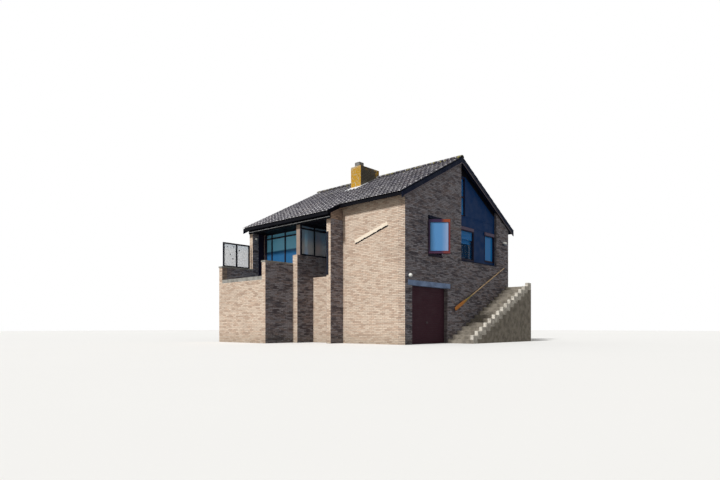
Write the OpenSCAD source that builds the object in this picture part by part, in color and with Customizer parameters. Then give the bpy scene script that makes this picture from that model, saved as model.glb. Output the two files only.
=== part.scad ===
// Beach house: a brick main storey over a garage, under one pitched roof, with a raised terrace at the front.
// The ridge runs along X. The gable with the garage door faces +X and the long front with the terrace faces -Y.
// The origin is at the middle of the main block, at the underside of the garage floor.

/* [Main block] */
// Outer length along the ridge
house_l = 8500; // [7700:100:9600]
// Outer width of the gable
house_w = 8000; // [7500:100:9000]
// Thickness of the outer walls
wall_t = 300; // [280:10:360]
// Distance of the ridge in front of the middle of the gable
ridge_offset = 250; // [0:50:400]
// Depth of the outer brick leaf beside and over the garage door
leaf_t = 170; // [140:10:180]

/* [Levels] */
// Thickness of the garage floor
garage_floor_t = 100; // [80:10:200]
// Height of the main floor's underside
garage_h = 2550; // [2520:10:2700]
// Thickness of the main floor
main_floor_t = 200; // [150:10:250]
// Height of the brick sill under the clad bay over the main floor
sill_h = 690; // [550:10:750]
// Height of the window heads in the gables and at the rear over the main floor
head_h = 2120; // [2000:10:2180]
// Height of the flat soffit over the main floor
soffit_h = 2190; // [2140:10:2260]
// Thickness of the soffit boards
soffit_t = 25; // [15:1:40]

/* [Roof] */
// Rise of the tile bed at the front wall's face over the soffit boards
plate_rise = 701; // [661:10:801]
// Pitch of both roof planes, in degrees
pitch = 28; // [26:0.2:28.6]
// Upright thickness of rafters and boards
deck_t = 130; // [100:10:180]
// Upright thickness of the tiles
tile_t = 80; // [60:5:100]
// Clearance between the sloped layers of the roof, and over the walls
seat_gap = 0.3; // [0.2:0.1:0.8]
// Overhang of the roof past each gable
verge_out = 110; // [90:10:250]
// Overhang of the front eave beside the terrace
eave_front = 300; // [200:10:400]
// Overhang of the front eave over the terrace
eave_terrace = 970; // [900:10:1100]
// Overhang of the rear eave
eave_rear = 350; // [200:10:450]
// Distance that the tiles run past the eave boards
tile_over = 40; // [20:5:60]
// Distance of the eave step from the garage gable
eave_step = 3060; // [2900:10:3100]
// Upright depth of the bargeboards
barge_h = 220; // [190:10:260]
// Thickness of bargeboards and eave boards
board_t = 30; // [20:2:40]
// Upright depth of the eave boards
eave_board_h = 110; // [80:10:150]
// Width of a ridge tile
ridge_tile_w = 260; // [200:10:320]
// Rise of the ridge tiles over the roof tiles
ridge_tile_rise = 45; // [20:5:80]

/* [Garage door] */
// Distance of the door opening from the house corner
door_corner = 425; // [400:5:600]
// Clear width of the door opening
door_w = 2375; // [2000:25:2400]
// Underside of the lintel
door_head_z = 2200; // [2100:20:2220]
// Height of the lintel beam
lintel_h = 190; // [150:10:220]
// Bearing of the lintel on the left jamb
lintel_left = 250; // [150:10:300]
// Bearing of the lintel on the right side
lintel_right = 200; // [150:10:300]
// Thickness of the door leaf
leaf_door_t = 40; // [30:2:50]
// Running gap round the door leaf
door_gap = 8; // [6:1:12]
// Width of a door post
post_w = 60; // [56:2:80]
// Rise of the door posts over the lintel's underside
post_rise = 300; // [240:10:320]
// Wall thickness of the channel in a door post
channel_t = 8; // [5:1:12]
// Running gap of the carriers in the channels
carrier_gap = 0.3; // [0.2:0.1:1]
// Height of the carriers
carrier_h = 120; // [80:10:160]
// Radius of a door pivot pin
pin_r = 8; // [6:0.5:10]
// Depth of a pivot pin in the leaf
pin_depth = 60; // [40:5:80]
// Radial clearance of a pivot pin
pin_gap = 0.06; // [0.03:0.01:0.1]

/* [Gable window and clad bay] */
// Distance of the gable window from the house corner
gable_win_y = 1440; // [1300:10:1700]
// Width of the gable window
gable_win_w = 950; // [850:10:1100]
// Sill height of the gable window over the main floor
gable_win_sill = 690; // [550:10:850]
// Head height of the gable window over the main floor
gable_win_head = 2190; // [2120:10:2250]
// Height of the blind box in the head of the gable window
blind_box_h = 140; // [100:10:180]
// Angle at which the sash of the gable window stands open
sash_turn = 47.5; // [20:0.5:60]
// Thickness of the open sash
sash_t = 55; // [40:5:70]
// Play over the open sash
sash_play = 30; // [10:5:40]
// Distance of the clad bay behind the ridge
bay_offset = 70; // [0:10:150]
// Width of the clad bay
bay_w = 3030; // [2900:10:3150]
// Setback of the cladding behind the brick
bay_setback = 110; // [80:10:140]
// Width of the left window in the bay
bay_left_w = 1110; // [800:10:1200]
// Width of the right window in the bay
bay_right_w = 850; // [700:10:1000]
// Rise of the right window's sill in the bay over the brick sill
bay_right_rise = 140; // [60:10:260]
// Width of the strip window
strip_w = 400; // [300:10:450]
// Rise of the strip window's sill over the window heads
strip_rise = 440; // [330:10:530]
// Height of the strip window
strip_h = 1650; // [1400:10:1700]

/* [Windows] */
// Face width of window frames
frame_w = 60; // [50:2:80]
// Depth of window frames
frame_d = 90; // [70:5:100]
// Thickness of the glass
glass_t = 12; // [8:1:20]
// Setback of the plain windows behind the brick face
reveal = 60; // [30:5:100]
// Width of the windows in the rear and far walls
plain_win_w = 1300; // [1000:50:1500]
// Spacing of the windows in the far gable
far_win_pitch = 3800; // [3200:50:4200]
// Spacing of the windows in the rear wall
rear_win_pitch = 2600; // [2000:50:2800]
// Sill height of the windows in the rear and far walls over the main floor
plain_sill_h = 690; // [550:20:850]
// Distance of the transom rail's middle under the soffit
transom_drop = 210; // [180:10:340]
// Distance of the first post of the glazed front from the screen wall
bar_first = 650; // [500:10:800]
// Spacing of the posts of the glazed front
bar_pitch = 950; // [700:10:1000]

/* [Front and terrace] */
// Distance of the wing wall from the house corner
wing_x = 3145; // [3120:5:3300]
// Thickness of the wing wall and the far wing pier
wing_t = 233; // [200:1:260]
// Projection of the wing walls
wing_out = 690; // [600:10:750]
// Depth of the far wing pier
far_pier_d = 324; // [250:1:400]
// Distance of the terrace column from the house corner
column_x = 4983; // [4900:1:5100]
// Width of the terrace column
column_w = 222; // [200:1:260]
// Depth of the terrace column
column_d = 260; // [200:10:300]
// Face width of the screen frames
screen_w = 60; // [50:5:70]
// Height of the screen wall over the main floor
screen_wall_h = 900; // [750:10:950]
// Projection of the screen wall
screen_wall_out = 880; // [800:10:1000]
// Distance of the side screen's middle post from the front
screen_post = 90; // [70:5:200]
// Distance of the side screen's rail under the soffit
screen_drop = 170; // [140:10:300]
// Depth of the porch behind the front
porch_d = 950; // [800:10:1100]
// Projection of the terrace
terrace_out = 2300; // [2200:50:2800]
// Drop of the terrace floor under the main floor
terrace_drop = 50; // [0:10:150]
// Thickness of the terrace floor
terrace_t = 150; // [120:10:180]
// Thickness of the terrace's front wall
terrace_wall_t = 230; // [200:10:260]
// Height of the coped walls over the terrace floor
coped_h = 550; // [450:10:650]
// Thickness of the coping
coping_t = 60; // [40:5:80]
// Overhang of the coping
coping_out = 25; // [10:5:40]
// Depth of the terrace's edge beam
beam_t = 50; // [40:5:80]
// Drop of the edge beam under the soffit
beam_drop = 10; // [5:5:30]
// Height of the windscreen
windscreen_h = 1080; // [900:10:1190]
// Length of the windscreen
windscreen_l = 1400; // [1200:10:1450]

/* [Chimney] */
// Distance of the chimney from the garage gable
chimney_x = 4500; // [4300:50:4600]
// Width of the chimney along the ridge
chimney_w = 620; // [500:10:700]
// Distance of the chimney's front face from the ridge
chimney_front = 1200; // [1150:10:1350]
// Length of the chimney across the ridge
chimney_l = 1280; // [1200:10:1300]
// Rise of the chimney over the tile bed at the ridge
chimney_rise = 390; // [300:10:600]
// Thickness of the lead flashing
flashing_t = 20; // [12:1:30]
// Width of the flashing beside the chimney
flashing_side = 110; // [80:10:160]
// Length of the flashing in front of the chimney
flashing_front = 320; // [200:10:400]
// Width of the flue box
flue_w = 290; // [250:10:320]
// Height of the flue box
flue_h = 210; // [150:10:260]
// Distance of the flue box and the vents from the ends of the chimney
flue_edge = 90; // [60:10:120]
// Radius of the vents
vent_r = 45; // [30:5:60]
// Height of the vents
vent_h = 90; // [60:5:140]

/* [Side stair and handrail] */
// Going of one step
step_going = 345; // [320:5:345]
// Rise of one step
step_rise = 168; // [150:1:175]
// Number of steps
step_count = 15; // [13:1:15]
// Width of the treads
stair_w = 1000; // [850:10:1200]
// Width of the kerb beside the treads
kerb_w = 150; // [100:10:200]
// Rise of the kerb over the treads
kerb_rise = 160; // [100:10:220]
// Distance of the handrail's lower end from the stair's foot
rail_y = 425; // [400:5:650]
// Height of the handrail's lower end
rail_z = 1378; // [1300:10:1450]
// Length of the handrail
rail_l = 4650; // [4400:10:4700]
// Slope of the handrail, in degrees
rail_slope = 25.6; // [24:0.2:27]
// Radius of the oar's shaft
rail_r = 24; // [20:1:30]
// Length of the oar's blade
blade_l = 960; // [800:10:1200]
// Width of the oar's blade
blade_w = 160; // [120:5:200]
// Thickness of the oar's blade
blade_t = 30; // [20:2:40]
// Distance of the oar from the wall
rail_out = 70; // [60:5:100]
// Radius of the handrail's brackets
bracket_r = 14; // [10:1:18]
// Distance of the first bracket from the handrail's lower end
bracket_first = 1250; // [1050:10:1400]
// Spacing of the three brackets
bracket_pitch = 1450; // [1200:10:1550]

/* [Sign and lamps] */
// Length of the sign board
sign_l = 1740; // [1500:20:1900]
// Height of the sign board
sign_h = 160; // [120:5:180]
// Thickness of the sign board
sign_t = 25; // [18:1:30]
// Tilt of the sign board, in degrees
sign_tilt = 17; // [10:1:20]
// Distance of the sign board's middle from the house corner
sign_x = 1640; // [1500:10:1800]
// Distance of the sign board's middle under the soffit
sign_drop = 680; // [590:5:840]
// Radius of the globe lamp
globe_r = 72; // [60:2:90]
// Distance of the globe lamp from the house corner
globe_y = 186; // [150:1:260]
// Height of the globe lamp over the lintel
globe_rise = 150; // [130:10:260]
// Distance of the globe's middle from the wall
globe_out = 110; // [100:5:140]
// Radius of the globe lamp's arm
arm_r = 16; // [12:1:20]
// Distance of the pier lamp from the rear corner
pier_lamp_y = 470; // [300:10:600]
// Height of the pier lamp over the main floor
pier_lamp_h = 1790; // [1650:10:1850]
// Width of the pier lamp
pier_lamp_w = 260; // [200:10:300]
// Height of the lamp bodies
lamp_h = 170; // [120:10:200]
// Depth of the lamp bodies
lamp_d = 120; // [80:10:160]
// Distance of the lamp on the far wing pier under the soffit
wing_lamp_drop = 250; // [190:10:440]
// Width of the lamp on the far wing pier
wing_lamp_w = 110; // [80:10:140]

/* [Hidden] */
$fn = 48;

brick = [0.47, 0.42, 0.38];
timber = [0.12, 0.14, 0.2];
maroon = [0.34, 0.14, 0.13];
pane = [0.45, 0.62, 0.75, 0.5];
concrete = [0.6, 0.6, 0.58];
dark = [0.08, 0.08, 0.1];

// Outer and inner faces of the main block.
gable_x = house_l / 2;
in_x = gable_x - wall_t;
rear_y = house_w / 2;
front_y = -rear_y;
in_y = rear_y - wall_t;
ridge_y = -ridge_offset;
slope = tan(pitch);
cut = 1;

// Levels. The ridge height is that of the tile bed.
main_floor_z = garage_h + main_floor_t;
sill_z = main_floor_z + sill_h;
head_z = main_floor_z + head_h;
soffit_z = main_floor_z + soffit_h;
header_z = soffit_z + soffit_t;
ridge_h = header_z + plate_rise + slope * (ridge_y - front_y);
terrace_z = main_floor_z - terrace_drop;
coped_z = terrace_z + coped_h;
screen_wall_z = main_floor_z + screen_wall_h;
transom_z = soffit_z - transom_drop;
post_h = door_head_z + post_rise;
strip_z = head_z + strip_rise;
plain_sill = main_floor_z + plain_sill_h;

// Heights over a place across the house: the top of the deck, of what stands under it, and of the tiles.
function bed_z(y) = ridge_h - slope * abs(y - ridge_y);
function under_z(y) = bed_z(y) - deck_t - seat_gap;
function tile_z(y) = bed_z(y) + tile_t;

// Outline of a wall under the roof, from y0 to y1 and from z0 up.
function under_roof(y0, y1, z0) = concat(
    [[y0, z0], [y1, z0], [y1, under_z(y1)]],
    (y0 < ridge_y && ridge_y < y1) ? [[ridge_y, under_z(ridge_y)]] : [],
    [[y0, under_z(y0)]]);

// A box given by its lowest and highest corners.
module box(low, high) {
    translate(low) cube(high - low);
}

// An outline in the YZ plane, extruded from x0 to x1.
module yz_prism(points, x0, x1) {
    translate([x0, 0, 0]) rotate([90, 0, 90]) linear_extrude(x1 - x0) polygon(points);
}

// Clear ranges of a frame from a to b, between its edge rails and its inner bars.
function spans(a, b, bars) = [
    for (i = [0:len(bars)]) [
        i == 0 ? a + frame_w : bars[i - 1] + frame_w / 2,
        i == len(bars) ? b - frame_w : bars[i] - frame_w / 2
    ]
];

// A window frame in the YZ plane, from x0 to x1, with inner posts at the places ys and rails at the heights zs.
module yz_frame(y0, y1, z0, z1, x0, x1, ys = [], zs = []) {
    difference() {
        box([x0, y0, z0], [x1, y1, z1]);
        for (a = spans(y0, y1, ys), b = spans(z0, z1, zs))
            box([x0 - cut, a[0], b[0]], [x1 + cut, a[1], b[1]]);
    }
}

// The panes of such a frame, in the middle plane x.
module yz_panes(y0, y1, z0, z1, x, ys = [], zs = []) {
    for (a = spans(y0, y1, ys), b = spans(z0, z1, zs))
        box([x - glass_t / 2, a[0], b[0]], [x + glass_t / 2, a[1], b[1]]);
}

// Swaps X and Y, for a frame in a wall that faces along Y.
module swap_xy() {
    mirror([1, -1, 0]) children();
}

// Floors

module garage_floor() {
    color(concrete) difference() {
        box([-in_x, -in_y, 0], [in_x, in_y, garage_floor_t]);
        chimney_box(-cut);
    }
}

module main_floor() {
    color(concrete) difference() {
        box([-in_x, -in_y, main_floor_z - main_floor_t], [in_x, in_y, main_floor_z]);
        chimney_box(-cut);
    }
}

// Front walls

wing_right = gable_x - wing_x;
wing_left = wing_right - wing_t;
wing_y = front_y - wing_out;
column_right = gable_x - column_x;
column_left = column_right - column_w;
screen_right = column_right + screen_w;
porch_y = front_y + porch_d;
porch_back = porch_y + frame_d;
far_x = wing_t - gable_x;

module front_wall() {
    color(brick) yz_prism(under_roof(front_y, -in_y, 0), wing_right, in_x);
}

module front_wall_left() {
    color(brick) box([-in_x, front_y, 0], [wing_left, -in_y, main_floor_z]);
}

module front_header() {
    color(timber) yz_prism(under_roof(front_y, -in_y, header_z), -in_x, wing_left);
}

module wing_wall() {
    color(brick) yz_prism([[wing_y, 0], [-in_y, 0], [-in_y, main_floor_z], [porch_back, main_floor_z],
        [porch_back, under_z(porch_back)], [wing_y, under_z(wing_y)]], wing_left, wing_right);
}

module far_wing_pier() {
    color(brick) yz_prism(under_roof(wing_y, wing_y + far_pier_d, terrace_z), -gable_x, far_x);
}

module far_wing_panel() {
    color(timber)
        yz_prism(under_roof(wing_y + far_pier_d, front_y, terrace_z), -gable_x + wing_t / 4, far_x - wing_t / 4);
}

// Garage gable

door_y0 = front_y + door_corner;
door_y1 = door_y0 + door_w;
lintel_top = door_head_z + lintel_h;
leaf_x = gable_x - leaf_t;
clad_x = gable_x - bay_setback;
bay_y0 = ridge_y + bay_offset;
bay_y1 = bay_y0 + bay_w;

// Openings of the gable, each as its Y range and its Z range.
gable_win_y0 = front_y + gable_win_y;
gable_win_top = main_floor_z + gable_win_head;
gable_win = [gable_win_y0, gable_win_y0 + gable_win_w, main_floor_z + gable_win_sill, gable_win_top];
bay_left = [bay_y0 + frame_w, bay_y0 + frame_w + bay_left_w, sill_z + frame_w, head_z];
bay_right = [bay_y1 - frame_w - bay_right_w, bay_y1 - frame_w, sill_z + bay_right_rise, head_z];
bay_strip = [bay_y0 + frame_w, bay_y0 + frame_w + strip_w, strip_z, strip_z + strip_h];

module opening(win) {
    box([in_x - cut, win[0], win[2]], [gable_x + cut, win[1], win[3]]);
}

// The room that the door posts and the leaf take behind the outer brick leaf.
module door_rebate() {
    box([in_x - cut, door_y0 - post_w, -cut], [leaf_x, door_y1 + post_w, post_h]);
}

module lintel_beam() {
    box([leaf_x, door_y0 - lintel_left, door_head_z], [gable_x, door_y1 + lintel_right, lintel_top]);
}

module garage_jamb() {
    color(brick) difference() {
        box([in_x, front_y, 0], [gable_x, door_y0, lintel_top]);
        lintel_beam();
        door_rebate();
    }
}

module garage_lintel() {
    color([0.42, 0.47, 0.53]) lintel_beam();
}

module gable_wall_lower() {
    color(brick) difference() {
        yz_prism([[door_y1, 0], [rear_y, 0], [rear_y, sill_z], [bay_y0, sill_z], [bay_y0, lintel_top],
            [door_y1, lintel_top]], in_x, gable_x);
        lintel_beam();
        door_rebate();
    }
}

module gable_wall_upper() {
    color(brick) difference() {
        yz_prism(under_roof(front_y, bay_y0, lintel_top), in_x, gable_x);
        opening(gable_win);
        door_rebate();
    }
}

module gable_pier() {
    color(brick) yz_prism(under_roof(bay_y1, rear_y, sill_z), in_x, gable_x);
}

module gable_cladding() {
    color(timber) difference() {
        yz_prism(under_roof(bay_y0, bay_y1, sill_z), in_x, clad_x);
        opening(bay_left);
        opening(bay_right);
        opening(bay_strip);
    }
}

// Plain walls

far_win_places = [-far_win_pitch / 2, far_win_pitch / 2];
rear_win_places = [-rear_win_pitch, 0, rear_win_pitch];

module far_gable_wall() {
    color(brick) difference() {
        yz_prism(under_roof(front_y, rear_y, 0), -gable_x, -in_x);
        for (place = far_win_places)
            box([-gable_x - cut, place - plain_win_w / 2, plain_sill], [-in_x + cut, place + plain_win_w / 2, head_z]);
    }
}

module rear_wall() {
    color(brick) difference() {
        yz_prism(under_roof(in_y, rear_y, 0), -in_x, in_x);
        for (place = rear_win_places)
            box([place - plain_win_w / 2, in_y - cut, plain_sill], [place + plain_win_w / 2, rear_y + cut, head_z]);
    }
}

// Windows of the gables and the rear

strip_bar = strip_z + strip_h / 2;
bay_frame_x = clad_x - frame_d;
gable_frame_x = gable_x - 2 * reveal - frame_d;

// The sash of the gable window is hung on its left side and stands open. Only its hinges touch the lining.
hinge_in = 12;
hinge_gap = 6;
hinge_h = 100;
hinge_y = gable_win[0] + hinge_in;
blind_box_z = gable_win[3] - blind_box_h;
sash_l = gable_win_w - 2 * frame_w;
sash_z0 = gable_win[2] + hinge_in;
sash_z1 = blind_box_z - sash_play;

module at_open_sash() {
    translate([gable_x + hinge_gap, hinge_y, 0]) rotate([0, 0, -sash_turn]) children();
}

module window_frames() {
    color(maroon) {
        yz_frame(gable_win[0], gable_win[1], gable_win[2], blind_box_z, gable_frame_x, gable_x);
        box([gable_frame_x, gable_win[0], blind_box_z - frame_w / 2], [gable_x, gable_win[1], gable_win[3]]);
        at_open_sash() yz_frame(0, sash_l, sash_z0, sash_z1, 0, sash_t);
        for (z = [sash_z0 + hinge_h, sash_z1 - 2 * hinge_h])
            box([gable_x - hinge_in, hinge_y - hinge_gap, z], [gable_x + hinge_in, hinge_y + hinge_in, z + hinge_h]);
        yz_frame(bay_left[0], bay_left[1], bay_left[2], bay_left[3], bay_frame_x, clad_x);
        yz_frame(bay_right[0], bay_right[1], bay_right[2], bay_right[3], bay_frame_x, clad_x);
        yz_frame(bay_strip[0], bay_strip[1], bay_strip[2], bay_strip[3], bay_frame_x, clad_x, [], [strip_bar]);
        for (place = far_win_places)
            yz_frame(place - plain_win_w / 2, place + plain_win_w / 2, plain_sill, head_z,
                reveal - gable_x, reveal + frame_d - gable_x, [place]);
        for (place = rear_win_places)
            swap_xy() yz_frame(place - plain_win_w / 2, place + plain_win_w / 2, plain_sill, head_z,
                rear_y - reveal - frame_d, rear_y - reveal, [place]);
    }
}

module window_glass() {
    color(pane) {
        at_open_sash() yz_panes(0, sash_l, sash_z0, sash_z1, sash_t / 2);
        yz_panes(bay_left[0], bay_left[1], bay_left[2], bay_left[3], clad_x - frame_d / 2);
        yz_panes(bay_right[0], bay_right[1], bay_right[2], bay_right[3], clad_x - frame_d / 2);
        yz_panes(bay_strip[0], bay_strip[1], bay_strip[2], bay_strip[3], clad_x - frame_d / 2, [], [strip_bar]);
        for (place = far_win_places)
            yz_panes(place - plain_win_w / 2, place + plain_win_w / 2, plain_sill, head_z,
                reveal + frame_d / 2 - gable_x, [place]);
        for (place = rear_win_places)
            swap_xy() yz_panes(place - plain_win_w / 2, place + plain_win_w / 2, plain_sill, head_z,
                rear_y - reveal - frame_d / 2, [place]);
    }
}

// Glazed front of the terrace and the porch

last_bar_room = 200;
bar_count = floor((column_left + in_x - bar_first - last_bar_room) / bar_pitch) + 1;
front_bars = [for (i = [bar_count - 1:-1:0]) column_left - bar_first - i * bar_pitch];
porch_bar = (screen_right + wing_left) / 2;

module front_window_frames() {
    color(maroon) {
        swap_xy()
            yz_frame(-in_x, column_left, main_floor_z, header_z, front_y, front_y + frame_d, front_bars, [transom_z]);
        box([column_left, front_y, screen_wall_z], [column_right, front_y + frame_d, header_z]);
        swap_xy()
            yz_frame(screen_right, wing_left, main_floor_z, soffit_z, porch_y, porch_back, [porch_bar], [transom_z]);
    }
}

module front_window_glass() {
    color(pane) {
        swap_xy()
            yz_panes(-in_x, column_left, main_floor_z, header_z, front_y + frame_d / 2, front_bars, [transom_z]);
        swap_xy()
            yz_panes(screen_right, wing_left, main_floor_z, soffit_z, porch_y + frame_d / 2, [porch_bar], [transom_z]);
    }
}

// Terrace

terrace_y = front_y - terrace_out;
screen_wall_y = front_y - screen_wall_out;
side_wall_x = column_left - terrace_wall_t;

module terrace_floor() {
    color(concrete) translate([0, 0, terrace_z - terrace_t]) linear_extrude(terrace_t)
        polygon([[far_x, terrace_y], [side_wall_x, terrace_y], [side_wall_x, wing_y], [column_left, wing_y],
            [column_left, front_y], [far_x, front_y]]);
}

module terrace_front_wall() {
    color(brick) box([far_x, terrace_y, 0], [side_wall_x, terrace_y + terrace_wall_t, terrace_z - terrace_t]);
}

module terrace_far_wall() {
    color(brick) yz_prism([[terrace_y, 0], [front_y, 0], [front_y, terrace_z], [wing_y, terrace_z], [wing_y, coped_z],
        [terrace_y, coped_z]], -gable_x, far_x);
}

module terrace_side_wall() {
    color(brick) box([side_wall_x, terrace_y, 0], [column_left, wing_y, coped_z]);
}

module terrace_coping() {
    color(concrete) {
        box([-gable_x - coping_out, terrace_y - coping_out, coped_z], [far_x + coping_out, wing_y, coped_z + coping_t]);
        translate([0, 0, coped_z]) linear_extrude(coping_t)
            polygon([[side_wall_x - coping_out, terrace_y - coping_out],
                [column_left + coping_out, terrace_y - coping_out], [column_left + coping_out, screen_wall_y],
                [column_left, screen_wall_y], [column_left, wing_y], [side_wall_x - coping_out, wing_y]]);
    }
}

module screen_wall() {
    color(brick) yz_prism([[screen_wall_y, 0], [front_y, 0], [front_y, main_floor_z], [porch_back, main_floor_z],
        [porch_back, screen_wall_z], [screen_wall_y, screen_wall_z]], column_left, screen_right);
}

module terrace_column() {
    color([0.7, 0.62, 0.54]) box([column_left, wing_y, screen_wall_z], [column_right, wing_y + column_d, soffit_z]);
}

// Side screen on the screen wall, and the windscreen on the far wall of the terrace.
screen_bars = [front_y + screen_post];
screen_transom = soffit_z - screen_drop;
windscreen_x = (far_x - gable_x) / 2;
windscreen_y0 = terrace_y + terrace_wall_t / 2;
windscreen_y1 = windscreen_y0 + windscreen_l;
windscreen_z0 = coped_z + coping_t;
windscreen_z1 = windscreen_z0 + windscreen_h;
windscreen_mid = (windscreen_y0 + windscreen_y1) / 2;

module screen_frames() {
    color(dark) {
        yz_frame(wing_y, porch_back, screen_wall_z, soffit_z, column_right, screen_right, screen_bars, [screen_transom]);
        yz_frame(windscreen_y0, windscreen_y1, windscreen_z0, windscreen_z1,
            windscreen_x - screen_w / 2, windscreen_x + screen_w / 2, [windscreen_mid]);
    }
}

module screen_glass() {
    color(pane) {
        yz_panes(wing_y, porch_back, screen_wall_z, soffit_z, column_right + screen_w / 2, screen_bars, [screen_transom]);
        yz_panes(windscreen_y0, windscreen_y1, windscreen_z0, windscreen_z1, windscreen_x, [windscreen_mid]);
    }
}

// Roof

step_x = gable_x - eave_step;
verge_x = gable_x + verge_out;
deck_x = verge_x - board_t;
eave_y0 = front_y - eave_front;
eave_y1 = front_y - eave_terrace;
eave_y2 = rear_y + eave_rear;
board_joint = 2;

// A layer of one roof slope between two heights from the tile bed.
module slope_layer(x0, x1, y_eave, low, high) {
    yz_prism([[ridge_y, ridge_h + low], [ridge_y, ridge_h + high], [y_eave, bed_z(y_eave) + high],
        [y_eave, bed_z(y_eave) + low]], x0, x1);
}

module roof_deck_front() {
    color(dark) difference() {
        union() {
            slope_layer(-deck_x, step_x, eave_y1 + board_t, -deck_t, 0);
            slope_layer(step_x, deck_x, eave_y0 + board_t, -deck_t, 0);
        }
        chimney_box(-cut);
    }
}

module roof_deck_rear() {
    color(dark) difference() {
        slope_layer(-deck_x, deck_x, eave_y2 - board_t, -deck_t, 0);
        chimney_box(-cut);
    }
}

module roof_tiles_front() {
    color([0.36, 0.33, 0.34]) difference() {
        union() {
            slope_layer(-verge_x, step_x + board_t, eave_y1 - tile_over, seat_gap, tile_t);
            slope_layer(step_x + board_t, verge_x, eave_y0 - tile_over, seat_gap, tile_t);
        }
        chimney_box(-cut);
    }
}

module roof_tiles_rear() {
    color([0.36, 0.33, 0.34]) difference() {
        slope_layer(-verge_x, verge_x, eave_y2 + tile_over, seat_gap, tile_t);
        chimney_box(-cut);
    }
}

module ridge_tiles() {
    half = ridge_tile_w / 2;
    low = tile_z(ridge_y + half) + seat_gap;
    high = tile_z(ridge_y) + seat_gap;
    color([0.42, 0.4, 0.36]) difference() {
        yz_prism([[ridge_y - half, low], [ridge_y, high], [ridge_y + half, low], [ridge_y + half, low + ridge_tile_rise],
            [ridge_y, high + ridge_tile_rise], [ridge_y - half, low + ridge_tile_rise]], -verge_x, verge_x);
        box([chimney_x0, ridge_y - ridge_tile_w, 0], [chimney_x1, ridge_y + ridge_tile_w, chimney_top]);
    }
}

// A pair of bargeboards on one gable, down to the two eaves, with a fine joint between them at the ridge.
module barge_pair(x0, y_front) {
    for (ends = [[y_front, ridge_y - board_joint / 2], [ridge_y + board_joint / 2, eave_y2]])
        yz_prism([[ends[0], bed_z(ends[0]) - barge_h], [ends[1], bed_z(ends[1]) - barge_h], [ends[1], bed_z(ends[1])],
            [ends[0], bed_z(ends[0])]], x0, x0 + board_t);
}

module bargeboards() {
    color(timber) {
        barge_pair(deck_x, eave_y0);
        barge_pair(-verge_x, eave_y1);
    }
}

module eave_boards() {
    return_y0 = eave_y1 + board_t + board_joint;
    return_y1 = eave_y0 - board_joint;
    color(dark) {
        box([-deck_x, eave_y1, bed_z(eave_y1) - eave_board_h], [step_x + board_t, eave_y1 + board_t, bed_z(eave_y1)]);
        yz_prism([[return_y0, bed_z(return_y0) - eave_board_h], [return_y1, bed_z(return_y1) - eave_board_h],
            [return_y1, bed_z(return_y1)], [return_y0, bed_z(return_y0)]], step_x, step_x + board_t);
        box([step_x, eave_y0, bed_z(eave_y0) - eave_board_h], [deck_x, eave_y0 + board_t, bed_z(eave_y0)]);
        box([-deck_x, eave_y2 - board_t, bed_z(eave_y2) - eave_board_h], [deck_x, eave_y2, bed_z(eave_y2)]);
    }
}

module terrace_soffit() {
    beam_y = wing_y - beam_t;
    beam_z = soffit_z - beam_drop;
    color(dark) {
        yz_prism([[beam_y, beam_z], [wing_y, beam_z], [wing_y, under_z(wing_y)], [beam_y, under_z(beam_y)]],
            -gable_x, wing_right);
        box([far_x, wing_y, soffit_z], [column_right, front_y, header_z]);
        box([column_right, wing_y, soffit_z], [wing_left, porch_back, header_z]);
    }
}

// Chimney

chimney_x1 = gable_x - chimney_x;
chimney_x0 = chimney_x1 - chimney_w;
chimney_y0 = ridge_y - chimney_front;
chimney_y1 = chimney_y0 + chimney_l;
chimney_top = ridge_h + chimney_rise;

module chimney_box(z0) {
    box([chimney_x0, chimney_y0, z0], [chimney_x1, chimney_y1, chimney_top]);
}

module chimney_stack() {
    color([0.5, 0.4, 0.2]) chimney_box(0);
}

module chimney_flashing() {
    y0 = chimney_y0 - flashing_front;
    y1 = ridge_y - ridge_tile_w / 2;
    color([0.85, 0.86, 0.86]) difference() {
        yz_prism([[y0, tile_z(y0) + seat_gap], [y1, tile_z(y1) + seat_gap], [y1, tile_z(y1) + flashing_t],
            [y0, tile_z(y0) + flashing_t]], chimney_x0 - flashing_side, chimney_x1 + flashing_side);
        chimney_box(0);
    }
}

module flue_box() {
    middle_x = (chimney_x0 + chimney_x1) / 2;
    vent_y = chimney_y1 - flue_edge - vent_r;
    color([0.45, 0.44, 0.42]) {
        translate([middle_x - flue_w / 2, chimney_y0 + flue_edge, chimney_top]) cube([flue_w, flue_w, flue_h]);
        for (place = [vent_y, vent_y - 5 * vent_r])
            translate([middle_x, place, chimney_top]) cylinder(h = vent_h, r = vent_r);
    }
}

// Garage door: two channel posts, a carrier that slides in each, and the leaf that turns on the carriers' pins.
// A side of 1 is the post whose channel opens towards +Y, and a side of -1 is the other.

leaf_front = leaf_x - door_gap;
pivot_x = leaf_front - leaf_door_t / 2;
leaf_z0 = door_gap;
leaf_z1 = door_head_z - door_gap;
pivot_z = (leaf_z0 + leaf_z1) / 2;
carrier_w = post_w - 2 * channel_t;
pin_reach = channel_t - carrier_gap + door_gap + pin_depth;

module door_post(y0, side) {
    difference() {
        box([in_x, y0, 0], [leaf_x, y0 + post_w, post_h]);
        translate([0, side * channel_t, 0])
            box([in_x + channel_t, y0, channel_t], [leaf_x - channel_t, y0 + post_w, post_h - channel_t]);
    }
}

module garage_door_posts() {
    color(maroon) {
        door_post(door_y0 - post_w, 1);
        door_post(door_y1, -1);
    }
}

module door_carrier(y0, side) {
    box([in_x + channel_t + carrier_gap, y0, pivot_z - carrier_h / 2],
        [leaf_x - channel_t - carrier_gap, y0 + carrier_w, pivot_z + carrier_h / 2]);
    translate([pivot_x, side > 0 ? y0 + carrier_w : y0, pivot_z]) rotate([-90 * side, 0, 0])
        cylinder(h = pin_reach, r = pin_r);
}

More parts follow.
